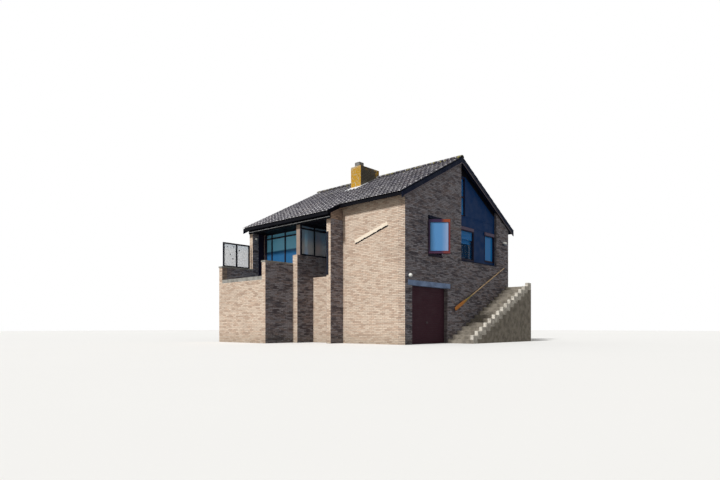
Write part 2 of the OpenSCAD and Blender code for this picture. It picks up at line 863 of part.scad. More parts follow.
module garage_door_carriers() {
    color([0.5, 0.5, 0.52]) {
        door_carrier(door_y0 - post_w + channel_t + carrier_gap, 1);
        door_carrier(door_y1 + post_w - channel_t - carrier_gap - carrier_w, -1);
    }
}

module garage_door_leaf() {
    color(maroon) difference() {
        box([pivot_x - leaf_door_t / 2, door_y0 + door_gap, leaf_z0], [leaf_front, door_y1 - door_gap, leaf_z1]);
        for (side = [-1, 1])
            translate([pivot_x, side > 0 ? door_y0 + door_gap - cut : door_y1 - door_gap + cut, pivot_z])
                rotate([-90 * side, 0, 0]) cylinder(h = pin_depth + 2 * cut, r = pin_r + pin_gap);
    }
}

// Side stair with its kerb, and the oar that serves as its handrail

stair_y0 = rear_y - step_count * step_going;

function stair_profile(rise) = concat(
    [[stair_y0, 0]],
    [for (i = [0:step_count - 1], end = [0, 1]) [stair_y0 + (i + end) * step_going, (i + 1) * step_rise + rise]],
    [[stair_y0 + step_count * step_going, 0]]);

module side_stair() {
    color(concrete) {
        yz_prism(stair_profile(0), gable_x, gable_x + stair_w);
        yz_prism(stair_profile(kerb_rise), gable_x + stair_w, gable_x + stair_w + kerb_w);
    }
}

module oar_handrail() {
    color([0.8, 0.6, 0.3])
    translate([gable_x + rail_out, stair_y0 + rail_y, rail_z]) rotate([rail_slope, 0, 0]) {
        translate([-blade_t / 2, 0, -blade_w / 2]) cube([blade_t, blade_l, blade_w]);
        translate([0, blade_l / 2, 0]) rotate([-90, 0, 0]) cylinder(h = rail_l - blade_l / 2, r = rail_r);
        for (i = [0:2])
            translate([-rail_out, bracket_first + i * bracket_pitch, 0]) rotate([0, 90, 0])
                cylinder(h = rail_out, r = bracket_r);
    }
}

// Sign board and lamps

module sign_board() {
    color([0.85, 0.75, 0.55])
        translate([gable_x - sign_x, front_y - sign_t, soffit_z - sign_drop]) rotate([0, -sign_tilt, 0])
        translate([-sign_l / 2, 0, -sign_h / 2]) cube([sign_l, sign_t, sign_h]);
}

module wall_lamps() {
    globe_z = lintel_top + globe_rise;
    color([0.92, 0.92, 0.9]) {
        translate([gable_x + globe_out, front_y + globe_y, globe_z]) sphere(r = globe_r);
        translate([gable_x, front_y + globe_y, globe_z]) rotate([0, 90, 0]) cylinder(h = globe_out, r = arm_r);
        translate([gable_x, rear_y - pier_lamp_y - pier_lamp_w / 2, main_floor_z + pier_lamp_h - lamp_h / 2])
            cube([lamp_d, pier_lamp_w, lamp_h]);
        translate([far_x, wing_y + far_pier_d / 2 - wing_lamp_w / 2, soffit_z - wing_lamp_drop - lamp_h / 2])
            cube([lamp_d, wing_lamp_w, lamp_h]);
    }
}

garage_floor();
main_floor();
front_wall();
front_wall_left();
front_header();
wing_wall();
far_wing_pier();
far_wing_panel();
garage_jamb();
garage_lintel();
gable_wall_lower();
gable_wall_upper();
gable_pier();
gable_cladding();
far_gable_wall();
rear_wall();
window_frames();
window_glass();
front_window_frames();
front_window_glass();
terrace_floor();
terrace_front_wall();
terrace_far_wall();
terrace_side_wall();
terrace_coping();
screen_wall();
terrace_column();
screen_frames();
screen_glass();
roof_deck_front();
roof_deck_rear();
roof_tiles_front();
roof_tiles_rear();
ridge_tiles();
bargeboards();
eave_boards();
terrace_soffit();
chimney_stack();
chimney_flashing();
flue_box();
garage_door_posts();
garage_door_carriers();
garage_door_leaf();
side_stair();
oar_handrail();
sign_board();
wall_lamps();
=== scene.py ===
"""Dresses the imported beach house: tiles, bricks, joinery, finishes, light and camera."""

from __future__ import annotations

import logging
import math
from contextlib import contextmanager
from dataclasses import dataclass, field
from enum import Enum
from typing import Any, Callable, ClassVar, Iterator, Sequence

import bmesh
import bpy
import numpy as np
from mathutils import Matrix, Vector


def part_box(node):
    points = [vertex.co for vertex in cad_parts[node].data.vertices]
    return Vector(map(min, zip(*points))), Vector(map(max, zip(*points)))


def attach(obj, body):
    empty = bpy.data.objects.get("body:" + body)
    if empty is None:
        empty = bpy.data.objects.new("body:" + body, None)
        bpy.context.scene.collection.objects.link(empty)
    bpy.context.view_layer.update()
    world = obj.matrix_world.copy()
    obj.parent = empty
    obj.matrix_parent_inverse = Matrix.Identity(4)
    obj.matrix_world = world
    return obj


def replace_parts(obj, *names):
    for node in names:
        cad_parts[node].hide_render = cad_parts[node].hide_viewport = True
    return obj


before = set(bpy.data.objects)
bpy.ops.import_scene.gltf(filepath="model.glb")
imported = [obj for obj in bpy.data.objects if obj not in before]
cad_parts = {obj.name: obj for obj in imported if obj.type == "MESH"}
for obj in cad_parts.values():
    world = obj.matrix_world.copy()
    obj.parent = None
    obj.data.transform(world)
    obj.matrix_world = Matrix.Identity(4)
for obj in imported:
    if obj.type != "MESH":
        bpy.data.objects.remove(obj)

log = logging.getLogger("beach_house")

Point = tuple[float, float, float]
Colour = tuple[float, float, float, float]
Span = tuple[float, float]
Hole = tuple[float, float, float, float]
Piece = bpy.types.Object
Material = bpy.types.Material

SLOPE = math.tan(math.radians(28))
TILT = math.atan(SLOPE)
RIDGE_Y = -0.25
BED_Z = 7.66  # the bed of the tiles at the ridge
WALL_TOP_Z = 7.53  # the top of a gable wall at the ridge
COURSE = 0.0625
BRICK_PITCH = 0.22
GABLE_X = 4.25  # the outer face of the gable
FRONT_Y = -4.0  # the outer face of the front
GABLE_WINDOW = (-2.56, -1.61)  # where the gable window lies along Y
BAY = (-0.18, 2.85)  # where the bay lies along Y
REAR_WINDOWS = (-2.6, 0.0, 2.6)  # the plain windows' middles
FAR_WINDOWS = (-1.9, 1.9)
HALF_WINDOW = 0.65
OAR_TIP = (4.32, -0.75, 1.378)
OAR_TURN = math.radians(25.6)


def shade(red: int, green: int, blue: int) -> Colour:
    """Turns a colour as a screen shows it into the values that a shader takes.

    Args:
        red: Red, 0 to 255.
        green: Green, 0 to 255.
        blue: Blue, 0 to 255.

    Returns:
        The linear colour, with full cover.
    """
    parts = [v / 255 for v in (red, green, blue)]
    linear = [v / 12.92 if v < 0.04045 else ((v + 0.055) / 1.055) ** 2.4 for v in parts]
    return (linear[0], linear[1], linear[2], 1.0)


class Pick(Enum):
    """What is picked in edit mode."""

    VERTS = "VERT"
    EDGES = "EDGE"
    FACES = "FACE"


class Axis(Enum):
    """The axis that a wall, frame or sheet looks along."""

    X = 0
    Y = 1


class Bench:
    """Blender's own modelling operators, each used on one piece with nothing else selected."""

    @staticmethod
    def clear() -> None:
        """Leaves edit mode and deselects everything."""
        if bpy.context.object and bpy.context.object.mode != "OBJECT":
            bpy.ops.object.mode_set(mode="OBJECT")
        bpy.ops.object.select_all(action="DESELECT")

    @staticmethod
    def take(piece: Piece) -> None:
        """Selects one piece alone and makes it active.

        Args:
            piece: The piece.
        """
        Bench.clear()
        piece.select_set(True)
        bpy.context.view_layer.objects.active = piece

    @staticmethod
    def new(name: str) -> Piece:
        """Names the primitive that was just added and returns it.

        Args:
            name: Its name.

        Returns:
            The primitive.
        """
        piece = bpy.context.object
        piece.name = name
        piece.data.name = name
        return piece

    @staticmethod
    def settle(piece: Piece) -> Piece:
        """Puts the piece's place, turn and scale into its mesh and returns it.

        Args:
            piece: The piece.

        Returns:
            The same piece.
        """
        Bench.take(piece)
        bpy.ops.object.transform_apply(location=True, rotation=True, scale=True)
        return piece

    @staticmethod
    def block(name: str, low: Sequence[float], high: Sequence[float], edge: float = 0.0) -> Piece:
        """Makes a block with eased edges.

        Args:
            name: The piece's name.
            low: Its lowest corner.
            high: Its highest corner.
            edge: The width of its eased edges, 0 for none.

        Returns:
            The block.
        """
        Bench.clear()
        middle = [(a + b) / 2 for a, b in zip(low, high)]
        bpy.ops.mesh.primitive_cube_add(size=1, location=middle)
        piece = Bench.new(name)
        piece.scale = [b - a for a, b in zip(low, high)]
        Bench.settle(piece)
        if edge:
            Bench.ease(piece, edge)
        return piece

    @staticmethod
    def tube(name: str, start: Point, end: Point, radius: float, sides: int = 16, edge: float = 0.0) -> Piece:
        """Makes a round bar between two points.

        Args:
            name: The piece's name.
            start: The middle of its first end.
            end: The middle of its other end.
            radius: Its radius.
            sides: How many sides it has.
            edge: The width of the eased rims, 0 for none.

        Returns:
            The bar.
        """
        Bench.clear()
        run = Vector(end) - Vector(start)
        bpy.ops.mesh.primitive_cylinder_add(vertices=sides, radius=radius, depth=run.length)
        piece = Bench.new(name)
        if edge:
            Bench.ease(piece, edge, 2)
        piece.rotation_mode = "QUATERNION"
        piece.rotation_quaternion = run.to_track_quat("Z", "Y")
        piece.location = (Vector(start) + Vector(end)) / 2
        Bench.settle(piece)
        Bench.smooth(piece)
        return piece

    @staticmethod
    def modify(piece: Piece, kind: str, **settings: Any) -> None:
        """Adds a modifier with these settings and applies it.

        Args:
            piece: The piece to change.
            kind: The modifier's type.
            settings: Its settings.
        """
        Bench.take(piece)
        change = piece.modifiers.new(kind.title(), kind)
        for key, value in settings.items():
            setattr(change, key, value)
        bpy.ops.object.modifier_apply(modifier=change.name)

    @staticmethod
    def ease(piece: Piece, width: float, segments: int = 1) -> None:
        """Bevels a piece's sharp edges."""
        Bench.modify(piece, "BEVEL", width=width, segments=segments, limit_method="ANGLE")

    @staticmethod
    def array(piece: Piece, count: int, step: Point) -> None:
        """Repeats a piece's mesh.

        Args:
            piece: The piece to repeat.
            count: How many there are in all.
            step: The way from one to the next.
        """
        if count > 1:
            Bench.modify(
                piece, "ARRAY", count=count, use_relative_offset=False, use_constant_offset=True,
                constant_offset_displace=step,
            )

    @staticmethod
    @contextmanager
    def edit(piece: Piece, kind: Pick = Pick.VERTS, whole: bool = False) -> Iterator[None]:
        """Opens edit mode, and closes it after.

        Args:
            piece: The piece to edit.
            kind: What is picked.
            whole: True to start with all selected, else nothing is.

        Yields:
            Nothing.
        """
        Bench.take(piece)
        bpy.ops.object.mode_set(mode="EDIT")
        bpy.ops.mesh.select_mode(type=kind.value)
        bpy.ops.mesh.select_all(action="SELECT" if whole else "DESELECT")
        try:
            yield
        finally:
            bpy.ops.object.mode_set(mode="OBJECT")

    @staticmethod
    def pick(piece: Piece, test: Callable[[Vector], bool], kind: Pick = Pick.VERTS) -> None:
        """Selects parts of the mesh in edit mode by their place.

        Args:
            piece: The piece in edit mode.
            test: Takes a part's middle and says whether it is picked.
            kind: Which parts are tested.
        """
        mesh = bmesh.from_edit_mesh(piece.data)
        for part in {Pick.VERTS: mesh.verts, Pick.EDGES: mesh.edges, Pick.FACES: mesh.faces}[kind]:
            if kind is Pick.VERTS:
                place = part.co
            elif kind is Pick.EDGES:
                place = (part.verts[0].co + part.verts[1].co) / 2
            else:
                place = part.calc_center_median()
            part.select_set(bool(test(place)))
        mesh.select_flush_mode()
        bmesh.update_edit_mesh(piece.data)

    @staticmethod
    def drop(piece: Piece, mask: np.ndarray) -> None:
        """Deletes the points of a mesh for which the mask is true.

        Args:
            piece: The piece.
            mask: One value for each point.
        """
        mesh = piece.data
        Bench.take(piece)
        mesh.polygons.foreach_set("select", np.zeros(len(mesh.polygons), bool))
        mesh.edges.foreach_set("select", np.zeros(len(mesh.edges), bool))
        mesh.vertices.foreach_set("select", np.ascontiguousarray(mask, bool))
        bpy.ops.object.mode_set(mode="EDIT")
        bpy.ops.mesh.select_mode(type="VERT")
        bpy.ops.mesh.delete(type="VERT")
        bpy.ops.object.mode_set(mode="OBJECT")

    @staticmethod
    def points(piece: Piece) -> np.ndarray:
        """Returns a mesh's points, one row each.

        Args:
            piece: The piece.

        Returns:
            The points.
        """
        found = np.empty(len(piece.data.vertices) * 3)
        piece.data.vertices.foreach_get("co", found)
        return found.reshape(-1, 3)

    @staticmethod
    def move(piece: Piece, places: np.ndarray) -> None:
        """Moves a mesh's points to these places.

        Args:
            piece: The piece.
            places: One row for each point.
        """
        piece.data.vertices.foreach_set("co", np.ascontiguousarray(places, float).ravel())
        piece.data.update()

    @staticmethod
    def mark(piece: Piece, name: str, values: np.ndarray) -> None:
        """Writes one number for each point, for a finish to read.

        Args:
            piece: The piece.
            name: The numbers' name.
            values: The numbers.
        """
        layer = piece.data.attributes.new(name, "FLOAT", "POINT")
        layer.data.foreach_set("value", np.ascontiguousarray(values, float))

    @staticmethod
    def join(name: str, pieces: Sequence[Piece]) -> Piece:
        """Joins pieces into one and returns it.

        Args:
            name: Its name.
            pieces: The pieces.

        Returns:
            The joined piece.
        """
        Bench.take(pieces[0])
        for piece in pieces:
            piece.select_set(True)
        if len(pieces) > 1:
            bpy.ops.object.join()
        return Bench.new(name)

    @staticmethod
    def smooth(piece: Piece, degrees: float = 35.0) -> None:
        """Shades the piece smooth, but for edges sharper than this angle.

        Args:
            piece: The piece.
            degrees: The angle.
        """
        Bench.take(piece)
        bpy.ops.object.shade_smooth_by_angle(angle=math.radians(degrees))

    @staticmethod
    def outward(piece: Piece) -> None:
        """Merges doubled points and turns all faces outwards.

        Args:
            piece: The piece.
        """
        with Bench.edit(piece, whole=True):
            bpy.ops.mesh.remove_doubles(threshold=0.00005)
            bpy.ops.mesh.normals_make_consistent(inside=False)

    @staticmethod
    def cells(piece: Piece, count: int) -> None:
        """Gives every one of equal copies its own square of the bake's map.

        Args:
            piece: A mesh of equal copies, one after the other, with the map of the first on each.
            count: How many copies there are.
        """
        mesh = piece.data
        layer = mesh.uv_layers.active
        layer.name = "OFBake"
        spots = np.empty(len(mesh.loops) * 2)
        layer.data.foreach_get("uv", spots)
        spots = spots.reshape(count, -1, 2)
        side = math.ceil(math.sqrt(count))
        index = np.arange(count)
        corner = np.stack([index % side, index // side], 1)[:, None, :]
        spots = (corner + 0.06 + 0.88 * spots) / side
        layer.data.foreach_set("uv", spots.ravel())

    @staticmethod
    def unwrap(piece: Piece) -> None:
        """Lays a single master's map into the unit square.

        Args:
            piece: The master.
        """
        with Bench.edit(piece, whole=True):
            bpy.ops.uv.smart_project(angle_limit=1.15, island_margin=0.02, scale_to_bounds=True)


class Wire:
    """A node's socket that takes part in sums: an operator adds its Math node."""

    def __init__(self, board: Board, socket: bpy.types.NodeSocket | None) -> None:
        """Wraps a socket of a board's node.

        Args:
            board: The board that the node is on.
            socket: The output socket.
        """
        self.board = board
        self.socket = socket

    def sum(self, operation: str, *values: Any) -> Wire:
        """Adds a Math node on these values and returns its output."""
        return self.board.node("ShaderNodeMath", {"operation": operation}, dict(enumerate(values)))

    def __add__(self, other: Any) -> Wire:
        """self + other."""
        return self.sum("ADD", self, other)

    def __radd__(self, other: Any) -> Wire:
        """other + self."""
        return self.sum("ADD", other, self)

    def __sub__(self, other: Any) -> Wire:
        """self - other."""
        return self.sum("SUBTRACT", self, other)

    def __rsub__(self, other: Any) -> Wire:
        """other - self."""
        return self.sum("SUBTRACT", other, self)

    def __mul__(self, other: Any) -> Wire:
        """self * other."""
        return self.sum("MULTIPLY", self, other)

    def __rmul__(self, other: Any) -> Wire:
        """other * self."""
        return self.sum("MULTIPLY", other, self)

    def __truediv__(self, other: Any) -> Wire:
        """self / other."""
        return self.sum("DIVIDE", self, other)

    def __rtruediv__(self, other: Any) -> Wire:
        """other / self."""
        return self.sum("DIVIDE", other, self)

    def __gt__(self, other: Any) -> Wire:
        """1 where self is greater, else 0."""
        return self.sum("GREATER_THAN", self, other)

    def __lt__(self, other: Any) -> Wire:
        """1 where self is smaller, else 0."""
        return self.sum("LESS_THAN", self, other)

    def __abs__(self) -> Wire:
        """The value without its sign."""
        return self.sum("ABSOLUTE", self)

    def fraction(self) -> Wire:
        """The part after the point."""
        return self.sum("FRACT", self)

    def floor(self) -> Wire:
        """The whole number below."""
        return self.sum("FLOOR", self)

    def between(self, low: float, high: float, last: float = 1.0, first: float = 0.0) -> Wire:
        """Maps low..high softly to first..last.

        Args:
            low: The value that gives first.
            high: The value that gives last.
            last: What high becomes.
            first: What low becomes.

        Returns:
            The mapped value.
        """
        return self.board.node(
            "ShaderNodeMapRange", {"interpolation_type": "SMOOTHSTEP"},
            {"Value": self, "From Min": low, "From Max": high, "To Min": first, "To Max": last},
        )


class Board:
    """The nodes of one material or of the world."""

    def __init__(self, name: str, world: bool = False) -> None:
        """Starts an empty material or world of this name.

        Args:
            name: Its name.
            world: True for the world.
        """
        self.material = (bpy.data.worlds if world else bpy.data.materials).new(name)
        self.material.use_nodes = True
        self.tree = self.material.node_tree
        self.tree.nodes.clear()

    def node(
        self, kind: str, settings: dict | None = None, inputs: dict | None = None, output: int | str = 0
    ) -> Wire:
        """Adds a node.

        Args:
            kind: The node's type.
            settings: Its settings, which are set first; "stops" are a ramp's places and colours.
            inputs: Its sockets' values or wires, by name or number.
            output: The output that is returned.

        Returns:
            The chosen output, or an empty wire where the node has none.
        """
        made = self.tree.nodes.new(kind)
        for key, value in (settings or {}).items():
            if key == "stops":
                stops = made.color_ramp.elements
                while len(stops) < len(value):
                    stops.new(0.5)
                for stop, (place, colour) in zip(stops, value):
                    stop.position = place
                    stop.color = colour
            else:
                setattr(made, key, value)
        for key, value in (inputs or {}).items():
            socket = made.inputs[key]
            if isinstance(value, Wire):
                self.tree.links.new(value.socket, socket)
            else:
                socket.default_value = value
        return Wire(self, made.outputs[output] if made.outputs else None)

    def straight(self) -> Wire:
        """1 where the camera looks directly, over a mirror or through glass, else 0.

        Returns:
            The value.
        """
        ray = self.node("ShaderNodeLightPath", output="Is Camera Ray")
        glossy, through = (ray.socket.node.outputs[f"Is {name} Ray"] for name in ("Glossy", "Transmission"))
        return ray + Wire(self, glossy) + Wire(self, through)

    def place(self) -> Wire:
        """The point on the object, in metres."""
        return self.node("ShaderNodeTexCoord", output="Object")

    def parts(self, vector: Wire) -> tuple[Wire, Wire, Wire]:
        """Splits a vector into its three numbers.

        Args:
            vector: The vector.

        Returns:
            The numbers along X, Y and Z.
        """
        first = self.node("ShaderNodeSeparateXYZ", inputs={0: vector})
        made = first.socket.node
        return first, Wire(self, made.outputs[1]), Wire(self, made.outputs[2])

    def joined(self, x: Any, y: Any, z: Any) -> Wire:
        """Puts three numbers together as a vector."""
        return self.node("ShaderNodeCombineXYZ", inputs={0: x, 1: y, 2: z})

    def scaled(self, vector: Wire, by: Point) -> Wire:
        """Stretches a vector by three numbers."""
        return self.node("ShaderNodeVectorMath", {"operation": "MULTIPLY"}, {0: vector, 1: by})

    def noise(
        self, vector: Wire, scale: float, detail: float = 3.0, rough: float = 0.55, bent: float = 0.0
    ) -> Wire:
        """Soft random cover between 0 and 1.

        Args:
            vector: Where it is looked up.
            scale: How many swells there are in a metre.
            detail: How many finer layers it has.
            rough: How strong the finer layers are.
            bent: How far it is distorted.

        Returns:
            The value.
        """
        inputs = {"Vector": vector, "Scale": scale, "Detail": detail, "Roughness": rough, "Distortion": bent}
        return self.node("ShaderNodeTexNoise", inputs=inputs)

    def chips(self, vector: Wire, scale: float) -> Wire:
        """Distance to the nearest of scattered points."""
        return self.node("ShaderNodeTexVoronoi", {"feature": "F1"}, {"Vector": vector, "Scale": scale})

    def mix(self, factor: Any, first: Any, second: Any, how: str = "MIX") -> Wire:
        """Mixes two colours.

        Args:
            factor: How much of the second there is.
            first: A colour or wire.
            second: A colour or wire.
            how: The way of mixing.

        Returns:
            The mixed colour.
        """
        settings = {"data_type": "RGBA", "blend_type": how, "clamp_factor": True}
        return self.node("ShaderNodeMix", settings, {0: factor, 6: first, 7: second}, 2)

    def ramp(self, value: Wire, *stops: tuple[float, Colour]) -> Wire:
        """Colours a value along these stops."""
        return self.node("ShaderNodeValToRGB", {"stops": stops}, {0: value})

    def mark(self, name: str) -> Wire:
        """Reads a number that the mesh carries."""
        return self.node("ShaderNodeAttribute", {"attribute_name": name}, output="Fac")

    def facing(self) -> tuple[Wire, Wire, Wire]:
        """The three numbers of the surface's normal."""
        return self.parts(self.node("ShaderNodeNewGeometry", output="Normal"))

    def bump(self, height: Wire, depth: float, strength: float = 1.0) -> Wire:
        """Turns a height into a normal.

        Args:
            height: The height, 0 to 1.
            depth: What a height of 1 is in metres.
            strength: How much of it shows.

        Returns:
            The normal.
        """
        return self.node("ShaderNodeBump", inputs={"Strength": strength, "Distance": depth, "Height": height})

    def close(
        self, colour: Any, rough: Any, normal: Wire | None = None, shine: float = 0.2, **more: Any
    ) -> Material:
        """Ends the material in a Principled shader.

        Args:
            colour: The base colour.
            rough: The roughness.
            normal: The bent normal.
            shine: The specular level, low for matt stuff.
            more: Other sockets, with _ for a space.

        Returns:
            The finished material.
        """
        inputs: dict[str, Any] = {"Base Color": colour, "Roughness": rough, "Specular IOR Level": shine}
        if normal is not None:
            inputs["Normal"] = normal
        inputs.update({key.replace("_", " "): value for key, value in more.items()})
        surface = self.node("ShaderNodeBsdfPrincipled", inputs=inputs)
        self.node("ShaderNodeOutputMaterial", inputs={"Surface": surface})
        return self.material


@dataclass(frozen=True)
class Finish:
    """A finish by name. Each kind of finish has its own make method."""

    name: str
    made: ClassVar[dict[str, Material]] = {}

    def make(self) -> Material:
        """Builds the material.

        Returns:
            The finished material.
        """
        raise NotImplementedError

    def begin(self) -> tuple[Board, Wire]:
        """Opens the material's board, and returns it with the point on the object."""
        board = Board(self.name)
        return board, board.place()

    def material(self) -> Material:
        """Returns the material, which is built once.

        Returns:
            The material.
        """
        if self.name not in Finish.made:
            Finish.made[self.name] = self.make()
        return Finish.made[self.name]


@dataclass(frozen=True)
class FacingBrick(Finish):
    """Hard-burnt facing brick in several tones, one tone a brick."""

    pale: Colour = shade(240, 220, 199)
    warm: Colour = shade(227, 200, 177)
    deep: Colour = shade(202, 176, 156)
    dirt: Colour = shade(138, 118, 104)
    weather: float = 0.16
    streaks: float = 0.3
    bands: float = 0.15

    def make(self) -> Material:
        """Builds the material.

        Returns:
            The finished material.
        """
        board, place = self.begin()
        z = board.parts(place)[2]
        tones = ((0.0, self.deep), (0.22, self.warm), (0.45, self.pale), (0.78, self.pale), (1.0, self.warm))
        colour = board.ramp(board.mark("tone"), *tones)
        streak = board.noise(board.scaled(place, (6, 6, 22)), 1.6, 3, 0.6)
        colour = board.mix(streak.between(0.35, 0.75, self.streaks), colour, self.dirt)
        band = board.noise(board.scaled(place, (1.5, 1.5, 9.5)), 1.0, 3, 0.6, 1.1)
        banded = band.between(0.5, 0.6, self.bands) * z.between(6.5, 4.0, 1.0, 0.35)
        colour = board.mix(banded, colour, self.dirt)
        sooty = board.noise(board.scaled(place, (1, 1, 1.4)), 0.9, 4, 0.6)
        colour = board.mix(sooty.between(0.42, 0.72, self.weather), colour, self.dirt)
        damp = (z + sooty * 0.5).between(0.9, 0.1, 0.35)
        colour = board.mix(damp, colour, shade(96, 92, 74))
        grain = board.noise(place, 190, 3, 0.7)
        pits = board.chips(place, 75).between(0.0, 0.25, 1.0, 0.35)
        height = grain * 0.5 + pits * 0.5
        colour = board.mix(grain.between(0.35, 0.7, 0.0, 0.12), colour, self.dirt)
        return board.close(colour, grain.between(0.2, 0.8, 0.95, 0.78), board.bump(height, 0.002), 0.08)


@dataclass(frozen=True)
class Masonry(Finish):
    """The walls behind the facing bricks: mortar and brick reveals outside, plaster inside."""

    mortar: Colour = shade(188, 172, 156)
    # The joints' colour on faces across X: painted shade.
    shaded: Colour = shade(84, 80, 80)
    brick: Colour = shade(190, 166, 148)
    dark: Colour = shade(136, 120, 110)
    plaster: Colour = shade(176, 168, 158)
    half_x: float = 3.953
    half_y: float = 3.703

    def make(self) -> Material:
        """Builds the material.

        Returns:
            The finished material.
        """
        board, place = self.begin()
        x, y, z = board.parts(place)
        nx, _, nz = board.facing()
        side = abs(nx) > 0.5
        along = x + side * (y - x)
        course = z / COURSE
        run = along / BRICK_PITCH + (course.floor() * 0.5).fraction()
        joint = 1 - (abs(run.fraction() - 0.5) < 0.4773) * (abs(course.fraction() - 0.5) < 0.4)
        joint = joint * (1 - (abs(nz) > 0.5))
        brick = board.joined(run.floor(), course.floor(), 0)
        pick = board.node("ShaderNodeTexWhiteNoise", {"noise_dimensions": "2D"}, {"Vector": brick})
        colour = board.mix(pick, self.brick, self.dark)
        # Painted shade: joints on faces across X take the darker shaded colour.
        colour = board.mix(joint, colour, board.mix(side, self.mortar, self.shaded))
        grain = board.noise(place, 60, 4, 0.65)
        colour = board.mix(grain.between(0.3, 0.75, 0.4), colour, self.dark)
        inside = (abs(x) < self.half_x) * (abs(y) < self.half_y)
        blotch = board.noise(place, 1.3, 3)
        plaster = board.mix(blotch.between(0.35, 0.7, 0.2), self.plaster, shade(150, 140, 128))
        colour = board.mix(inside, colour, plaster)
        height = grain * 0.35 + (1 - joint) * (1 - inside)
        return board.close(colour, grain.between(0.3, 0.8, 0.97, 0.85), board.bump(height, 0.005), 0.1)


@dataclass(frozen=True)
class Pantile(Finish):
    """Weathered clay tiles: each with its tone and specks of lichen, a painted highlight where the sun falls
    on the crests of the tails, and painted shade in the troughs.

    The mesh carries "tone", a number for each tile, "tail", which rises to 1 at its lower end, and
    "crest", which is 1 on top of its wave.
    """

    base: Colour = shade(76, 73, 86)
    light: Colour = shade(222, 219, 220)
    # deep serves the dark mottling and also the painted shade in the troughs.
    deep: Colour = shade(20, 18, 24)
    lichen: Colour = shade(158, 150, 84)
    ruddy: Colour = shade(100, 76, 66)
    crown: float = 0.0

    def make(self) -> Material:
        """Builds the material.

        Returns:
            The finished material.
        """
        board, place = self.begin()
        x, _, z = board.parts(place)
        tone, crest, tail = (board.mark(name) for name in ("tone", "crest", "tail"))
        tones = ((0.0, shade(46, 44, 52)), (0.3, self.base), (0.75, self.base), (1.0, shade(118, 114, 118)))
        colour = board.ramp(tone, *tones)
        mottle = board.noise(place, 13, 5, 0.75)
        colour = board.mix(mottle.between(0.38, 0.6, 0.86), colour, self.deep)
        pale = board.noise(place, 22, 3, 0.65).between(0.57, 0.63, 0.95)
        colour = board.mix(pale * z.between(6.9, 5.3, 1.0, 0.5), colour, self.light)
        colour = board.mix(board.noise(place, 2.2, 3).between(0.55, 0.75, 0.35), colour, self.ruddy)
        # Painted shade: the troughs between the crests turn nearly black.
        colour = board.mix((1 - crest).between(0.3, 0.8, 0.94), colour, self.deep)
        # Painted highlight: the crests of the tails, where the sun falls, turn pale, more so towards the eave
        # and the verges.
        painted_sunlight = (tail + mottle * 0.12 + crest * 0.05).between(0.93, 1.06, 0.9)
        painted_sunlight = painted_sunlight * crest.between(0.15, 0.6)
        rim = abs(x).between(4.05, 4.2, 0.6)
        painted_sunlight = painted_sunlight * (0.5 + tone * 0.5 + rim) * z.between(6.9, 5.2, 1.1, 0.55)
        colour = board.mix(painted_sunlight, colour, self.light)
        nx, _, nz = board.facing()
        # Painted shade: the tiles' sides that face along X, and the sides and undersides at the verges, turn
        # dark blue.
        end = abs(nx).between(0.7, 0.9) + (abs(x) > 4.335) * nz.between(0.5, 0.3)
        up = z.between(6.4, 7.9, 0.11 + self.crown)
        verge = abs(x).between(3.9, 4.36, 0.05)
        patch = board.noise(place, 9.0, 5, 0.72) + up + verge
        colour = board.mix(patch.between(0.69, 0.76, 0.8), colour, self.lichen)
        colour = board.mix(end, colour, shade(20, 26, 42))
        speck = board.noise(place, 120, 2, 0.6)
        height = mottle * 0.5 + speck * 0.5
        return board.close(colour, speck.between(0.3, 0.7, 0.92, 0.72), board.bump(height, 0.004), 0.12)


@dataclass(frozen=True)
class Stone(Finish):
    """Weathered concrete or stone."""

    base: Colour = shade(168, 166, 160)
    stain: Colour = shade(112, 108, 100)
    moss: Colour = shade(120, 118, 78)
    size: float = 3.0
    growth: float = 0.2
    depth: float = 0.003

    def make(self) -> Material:
        """Builds the material.

        Returns:
            The finished material.
        """
        board, place = self.begin()
        broad = board.noise(place, self.size, 5, 0.62)
        fine = board.noise(place, 55, 4, 0.7)
        colour = board.mix(broad.between(0.35, 0.7, 0.75), self.base, self.stain)
        colour = board.mix(fine.between(0.45, 0.75, 0.35), colour, self.stain)
        growth = board.noise(place, self.size * 2.7, 5, 0.7).between(0.56, 0.7, self.growth * 2)
        colour = board.mix(growth, colour, self.moss)
        pits = board.chips(place, 90).between(0.0, 0.3)
        height = fine * 0.6 + pits * 0.4
        return board.close(colour, fine.between(0.3, 0.7, 0.95, 0.75), board.bump(height, self.depth))


class Grain(Enum):
    """The way that a board's fibres run: how much finer the grain is along X, Y and Z."""

    ALONG_X = (1.0, 10.0, 10.0)
    ALONG_Y = (10.0, 1.0, 10.0)
    UPRIGHT = (10.0, 10.0, 1.0)
    FINE = (1.2, 12.0, 12.0)


@dataclass(frozen=True)
class Timber(Finish):
    """Painted or bare boards with grain along one axis and wear at random spots."""

    paint: Colour = shade(14, 21, 42)
    worn: Colour = shade(32, 40, 62)
    along: Grain = Grain.ALONG_X
    grain: float = 0.5
    rough: float = 0.5
    dust: float = 0.2
    gloss: float = 0.04

    def make(self) -> Material:
        """Builds the material.

        Returns:
            The finished material.
        """
        board, place = self.begin()
        fibre = board.noise(board.scaled(place, self.along.value), 9, 5, 0.7, 0.3)
        colour = board.mix(fibre.between(0.3, 0.72, self.grain), self.paint, self.worn)
        spots = board.noise(place, 3.1, 4, 0.6)
        colour = board.mix(spots.between(0.5, 0.78, self.dust), colour, self.worn)
        rough = spots.between(0.3, 0.8, self.rough + 0.25, self.rough - 0.1)
        return board.close(colour, rough, board.bump(fibre, 0.0015), self.gloss)


